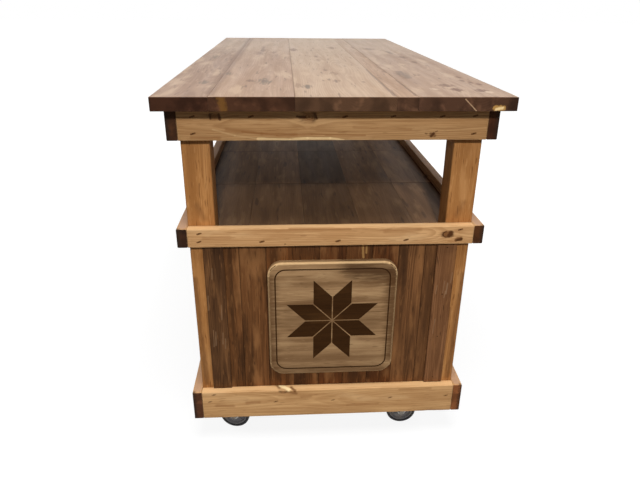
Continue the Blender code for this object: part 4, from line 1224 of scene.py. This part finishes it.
def press_fork():
    """The fork about its king pin, with the axle along Y and the wheel trailing along X."""
    skirt = crown_top - CROWN_SKIRT
    back, front = touch(CROWN_BACK, skirt, -1), touch(-CROWN_FRONT, skirt, 1)
    front = front - 360 if front > back else front
    turns = [math.radians(front + (back - front) * i / 28) for i in range(29)]
    eye_edge = [(TRAIL + EYE_R * math.cos(t), WHEEL_R + EYE_R * math.sin(t)) for t in turns]
    arms = [(-CROWN_FRONT, skirt), *eye_edge, (CROWN_BACK, skirt)]
    bends = [math.pi / 2 * i / 8 for i in range(9)]
    slices = [(-FORK_OUT + FORK_BEND * (1 - math.cos(t)), crown_top - FORK_BEND * (1 - math.sin(t)))
              for t in bends]
    slices += [(-y, top) for y, top in reversed(slices)]
    body = loft(bmesh.new(), [[(x, y, z) for x, z in arms + [(CROWN_BACK, top), (-CROWN_FRONT, top)]]
                              for y, top in slices])
    inside = FORK_BEND - FORK_SHEET
    gap = [(-FORK_IN, -0.01), (FORK_IN, -0.01)]
    for side, start in ((1, 0), (-1, 90)):
        for turn in (math.radians(start + 15 * i) for i in range(7)):
            gap.append((side * (FORK_IN - inside) + inside * math.cos(turn),
                        crown_under - inside + inside * math.sin(turn)))
    hollow = loft(bmesh.new(), [[(x, y, z) for y, z in gap] for x in (-0.2, 0.2)])
    race = [(PIN_HOLE / 2, crown_top - RACE_IN), (PIN_HOLE / 2, fork_high)]
    race += bowed(RACE_R - RACE_H / 2, fork_high, RACE_R, crown_top + RACE_H / 3, RACE_BULGE)
    race.append((RACE_R, crown_top - RACE_IN))
    bore_low, bore_high = crown_under - 0.002, fork_high + 0.002
    pin_hole = lathe([(0, bore_low), (PIN_HOLE, bore_low), (PIN_HOLE, bore_high), (0, bore_high)], 40)
    eye = lathe([(0, -0.05), (AXLE_HOLE, -0.05), (AXLE_HOLE, 0.05), (0, 0.05)], 32, "Y")
    bmesh.ops.translate(eye, vec=(TRAIL, 0, WHEEL_R), verts=eye.verts)
    return carve(body, [("DIFFERENCE", hollow), ("UNION", lathe(race, 56)), ("DIFFERENCE", pin_hole),
                        ("DIFFERENCE", eye)])


fork_zinc = metal("fork zinc", paint(158, 154, 148), 0.36, paint(98, 86, 70), 0.7)
swung = {}
for corner in CORNERS:
    low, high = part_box(f"tyre_{corner}")
    lead = (low + high) / 2 - plate_centre[corner]
    swing = Matrix.Rotation(math.atan2(lead.y, lead.x), 4, "Z")
    swung[corner] = Matrix.Translation(plate_centre[corner]) @ swing
    node = f"caster_fork_{corner}"
    shape = press_fork()
    bmesh.ops.transform(shape, matrix=swung[corner], verts=shape.verts)
    settle(f"{node}_pressing", shape, [fork_zinc], f"swivel_{corner}", "fork_steel", node, sharp=32)

# Axles
# A hexagon bolt through both eyes of each fork, with a nut on the other side. The bolt's end stands
# a little out of the nut and shows its thread.
AXLE_R = 0.00475
HEX_R, HEX_T = 0.0082, 0.006
HEX_FACE = FORK_OUT + 0.0003
HEX_OUTER = HEX_FACE + HEX_T
HEX_TURNED = 0.84        # outer face of a head or nut, as a share of its corner radius
HEX_CHAMFER = 0.18       # height that is turned off, as a share of its own
HEX_CLEAR = 1.1          # turning tool past the corners
THREAD_PITCH = 0.00125
THREAD_ROOT, BOLT_TIP = 0.9, 0.72        # shares of the bolt's radius


def hexagon(side):
    """A bolt head or nut on one side of the fork, with its corners turned off at the outer face."""
    block = [(0, HEX_FACE), (HEX_R, HEX_FACE), (HEX_R, HEX_OUTER), (0, HEX_OUTER)]
    cone = [(0, HEX_FACE - 0.001), (HEX_R * HEX_CLEAR, HEX_FACE - 0.001),
            (HEX_R * HEX_CLEAR, HEX_OUTER - HEX_T * HEX_CHAMFER), (HEX_R * HEX_TURNED, HEX_OUTER),
            (0, HEX_OUTER)]
    block, cone = ([(r, side * h) for r, h in profile][::side] for profile in (block, cone))
    return carve(lathe(block, 6, "Y"), [("INTERSECT", lathe(cone, 48, "Y"))])


axle_steel = metal("axle steel", paint(128, 122, 114), 0.38, paint(92, 78, 62), 0.6)
bolt_end = HEX_OUTER + AXLE_R / 2
shank = [(0, -HEX_FACE - HEX_T / 2), (AXLE_R, -HEX_FACE - HEX_T / 2), (AXLE_R, HEX_OUTER - 0.001)]
for i in range(int((bolt_end - HEX_FACE - HEX_T) / THREAD_PITCH)):
    start = HEX_OUTER + i * THREAD_PITCH
    shank += [(AXLE_R * THREAD_ROOT, start + THREAD_PITCH * 0.3), (AXLE_R, start + THREAD_PITCH * 0.8)]
shank += [(AXLE_R * BOLT_TIP, bolt_end), (0, bolt_end)]
at_axle = {}
for corner in CORNERS:
    at_axle[corner] = swung[corner] @ Matrix.Translation((TRAIL, 0, WHEEL_R))
    node = f"axle_{corner}"
    shape = carve(lathe(shank, 40, "Y"), [("UNION", hexagon(1)), ("UNION", hexagon(-1))])
    bmesh.ops.transform(shape, matrix=at_axle[corner], verts=shape.verts)
    settle(f"{node}_bolt", shape, [axle_steel], f"swivel_{corner}", "axle_steel", node, sharp=30)

# Wheels
# A moulded grey core with a thick hub and a thin web, and a black rubber tyre bonded to its rim.
# The tyres are scuffed and a little dusty.
HUB_HALF, HUB_R, WEB_HALF = 0.017, 0.013, 0.005
RIM_R, RIM_T, RIM_HALF = 0.041, 0.005, 0.01333
HUB_EASE, HUB_BULGE = 0.001, 0.0003
RIM_EASE = 0.0006
FILLET = 0.0012          # where the web runs into hub and rim
BORE = 0.00515
TYRE_HALF, TYRE_IN = 0.015, 0.0413
TREAD_FLAT, TREAD_ROUND = 0.0034, 0.0028        # tyre's shoulder: in from the tread, and its radius
# The tread from its shoulder across the groove: (in from the tread's crown, in from the tyre's side)
TREAD = ((0.0002, 0.0060), (0.0009, 0.0064), (0.0009, 0.0072), (0, 0.0076))
MOULD_LINE = 0.0004      # half the width of the line round the tread's middle
RIBS = 8
RIB_T, RIB_H = 0.0018, 0.0035
RIB_IN, RIB_OUT = HUB_R - 0.0008, RIM_R - RIM_T - 0.0006


def turned(half, sides):
    """A wheel part along Y from the near half of its profile."""
    return lathe(half + [(r, -h) for r, h in reversed(half)], sides, "Y")


def make_mould_grain():
    """Moulded plastic or rubber: fine grain, scuffed patches and wide patches of dust."""
    tree, given, out = effect("mould grain", {"Place": "Vector"}, ("Fine", "Patch", "Wide"))
    put_out(tree, out, Fine=speckle(tree, given["Place"], (2600, 2600, 2600), 2.0),
            Patch=speckle(tree, given["Place"], (95, 95, 95), 4.0),
            Wide=speckle(tree, given["Place"], (28, 28, 28), 3.0))
    return tree


mould_grain = make_mould_grain()


def moulded(name, tone, worn, dust, rough, gloss, scuff):
    """Plastic or rubber: fine mould grain, paler scuffs and dust lying in patches."""
    finish, tree = new_finish(name, Specular_IOR_Level=gloss)
    grain = apply_effect(tree, mould_grain, {"Place": wire(tree, "TexCoord", {})["Object"]})
    colour = tint(tree, times(tree, ease_in(tree, grain["Patch"], 0.52, 0.72), scuff), tone, worn)
    colour = tint(tree, times(tree, ease_in(tree, grain["Wide"], 0.45, 0.75), scuff), colour, dust)
    dull = calc(tree, "ADD", rough, times(tree, grain["Patch"], 0.25))
    coat(tree, colour, dull, grain["Fine"], 0.2, 0.0002)
    return finish


core_plastic = moulded("grey core", paint(92, 89, 90), paint(114, 109, 106), paint(130, 118, 104),
                       rough=0.42, gloss=0.3, scuff=0.6)
tyre_rubber = moulded("black rubber", paint(20, 18, 18), paint(34, 31, 30), paint(58, 52, 46),
                      rough=0.65, gloss=0.15, scuff=0.4)
dusty_wall = moulded("dusty rubber wall", paint(58, 56, 58), paint(74, 71, 71), paint(92, 85, 78),
                     rough=0.65, gloss=0.15, scuff=0.6)
core_half = [(BORE, HUB_HALF)] + bowed(HUB_R - HUB_EASE, HUB_HALF, HUB_R, HUB_HALF - HUB_EASE, HUB_BULGE)
core_half += [(HUB_R + FILLET, WEB_HALF + FILLET), (HUB_R + 0.0026, WEB_HALF),
              (RIM_R - 1.9 * RIM_T, WEB_HALF), (RIM_R - 1.5 * RIM_T, WEB_HALF + FILLET),
              (RIM_R - RIM_T, RIM_HALF), (RIM_R - RIM_EASE, RIM_HALF), (RIM_R, RIM_HALF - RIM_EASE)]
shoulder = [math.radians(t) for t in (22, 45, 68, 88)]
shoulder_r, shoulder_y = WHEEL_R - TREAD_FLAT, TYRE_HALF - TREAD_ROUND
tyre_half = [(TYRE_IN, TYRE_HALF - 0.0016), (TYRE_IN + 0.0012, TYRE_HALF), (shoulder_r, TYRE_HALF)]
tyre_half += [(shoulder_r + TREAD_ROUND * math.sin(t), shoulder_y + TREAD_ROUND * math.cos(t))
              for t in shoulder]
tyre_half += [(WHEEL_R - deep, TYRE_HALF - aside) for deep, aside in TREAD]
tyre_half.append((WHEEL_R, MOULD_LINE))
rib_outline = [(RIB_IN, -RIB_T / 2), (RIB_OUT, -RIB_T / 2), (RIB_OUT, RIB_T / 2), (RIB_IN, RIB_T / 2)]
for corner in CORNERS:
    ribs = []
    for i in range(RIBS):
        rib = prism(rib_outline, -WEB_HALF - RIB_H, WEB_HALF + RIB_H)
        turn = Matrix.Rotation(2 * math.pi * i / RIBS, 4, "Y") @ Matrix.Rotation(math.pi / 2, 4, "X")
        bmesh.ops.transform(rib, matrix=turn, verts=rib.verts)
        ribs.append(("UNION", rib))
    core = carve(turned(core_half, 96), ribs)
    tyre = turned(tyre_half, 96)
    tyre.normal_update()
    for face in tyre.faces:
        face.material_index = 1 if abs(face.normal.y) > 0.9 else 0
    mouldings = (("wheel_core", core, [core_plastic], "wheel_core"),
                 ("tyre", tyre, [tyre_rubber, dusty_wall], "wheel_tyre"))
    for piece, shape, finishes, slot in mouldings:
        bmesh.ops.transform(shape, matrix=at_axle[corner], verts=shape.verts)
        node = f"{piece}_{corner}"
        settle(f"{node}_moulding", shape, finishes, f"wheel_{corner}", slot, node, sharp=32)

# Floor, light and camera
# A plain pale floor and soft light from above and in front, seen from where the picture was taken.
FLOOR_HALF = 30.0
FLOOR_GREY = 0.18
FLOOR_NEAR = 0.84        # how white the floor looks by the cart
FLOOR_FADE = (0.25, 0.9)  # distances from the cart between which the floor turns plain white
WORLD_LIGHT = 0.07


def seen_plain(tree):
    """1 for rays that come straight from the camera, or from it by way of glass or metal."""
    path = wire(tree, "LightPath", {})
    seen = calc(tree, "MAXIMUM", path["Is Camera Ray"], path["Is Transmission Ray"])
    return calc(tree, "MAXIMUM", seen, path["Is Glossy Ray"])


mesh = bpy.data.meshes.new("floor")
plan = ((-1, -1), (1, -1), (1, 1), (-1, 1))
mesh.from_pydata([(x * FLOOR_HALF, y * FLOOR_HALF, 0) for x, y in plan], [], [(0, 1, 2, 3)])
floor = bpy.data.objects.new("floor", mesh)
bpy.context.scene.collection.objects.link(floor)
pale, tree = new_finish("pale floor", Base_Color=(FLOOR_GREY, FLOOR_GREY, FLOOR_GREY, 1), Roughness=0.9,
                        Specular_IOR_Level=0.0, Emission_Color=(1, 1, 1, 1))
apart = shift(tree, "ABSOLUTE", wire(tree, "TexCoord", {})["Object"])
apart = shift(tree, "SUBTRACT", apart, (cad_box[1].x, cad_box[1].y, 0))
apart = shift(tree, "MAXIMUM", apart, (0, 0, 0))
fade = times(tree, ease_in(tree, measure(tree, "LENGTH", apart), *FLOOR_FADE), 1 - FLOOR_NEAR)
glow = times(tree, seen_plain(tree), calc(tree, "ADD", FLOOR_NEAR, fade))
tree.links.new(glow, tree.nodes["Principled BSDF"].inputs["Emission Strength"])
mesh.materials.append(pale)

world = bpy.data.worlds.new("studio")
bpy.context.scene.world = world
world.use_nodes = True
tree = world.node_tree
strength = calc(tree, "ADD", WORLD_LIGHT, times(tree, seen_plain(tree), 1.0 - WORLD_LIGHT))
tree.nodes["Background"].inputs["Color"].default_value = (1, 1, 1, 1)
tree.links.new(strength, tree.nodes["Background"].inputs["Strength"])


def softbox(name, place, aim, size, power, mirrored=True):
    """A square soft light; one that is not mirrored adds no hot spot to varnish."""
    lamp = bpy.data.lights.new(name, "AREA")
    lamp.size = size
    lamp.energy = power
    holder = bpy.data.objects.new(name, lamp)
    holder.location = place
    holder.rotation_euler = (Vector(aim) - Vector(place)).to_track_quat("-Z", "Y").to_euler()
    holder.visible_glossy = mirrored
    bpy.context.scene.collection.objects.link(holder)


softbox("ceiling light", (0.0, -2.1, 4.2), (0, -0.9, 0.7), 1.7, 104)
softbox("front light", (0.0, -5.0, 3.35), (0, -0.95, 0.7), 0.35, 158)
softbox("left light", (-4.4, 0.8, 3.3), (0, 0, 0.6), 1.6, 58, mirrored=False)
softbox("right light", (4.4, 0.8, 3.3), (0, 0, 0.6), 1.6, 58, mirrored=False)
softbox("back light", (0.2, 5.3, 2.5), (0, 0.9, 0.6), 2.0, 85, mirrored=False)

# The picture was taken standing, a little left of the cart's middle, with a phone-like lens
FOCAL_PX, FRAME_PX, SENSOR = 554.0, 640.0, 36.0
YAW, PITCH, ROLL = math.radians(3.73), math.radians(23.87), math.radians(0.66)
EYE = Vector((-0.1285, front_end - 1.3786, top_z + 0.2287))
ahead = Vector((math.sin(YAW) * math.cos(PITCH), math.cos(YAW) * math.cos(PITCH), -math.sin(PITCH)))
level = Vector((math.cos(YAW), -math.sin(YAW), 0))
upward = level.cross(ahead)
right = level * math.cos(ROLL) + upward * math.sin(ROLL)
up = upward * math.cos(ROLL) - level * math.sin(ROLL)
lens = bpy.data.cameras.new("camera")
lens.sensor_width = SENSOR
lens.lens = FOCAL_PX / FRAME_PX * SENSOR
camera = bpy.data.objects.new("camera", lens)
camera.matrix_world = Matrix.Translation(EYE) @ Matrix((right, up, -ahead)).transposed().to_4x4()
bpy.context.scene.collection.objects.link(camera)
bpy.context.scene.camera = camera
bpy.context.scene.view_settings.view_transform = "Standard"
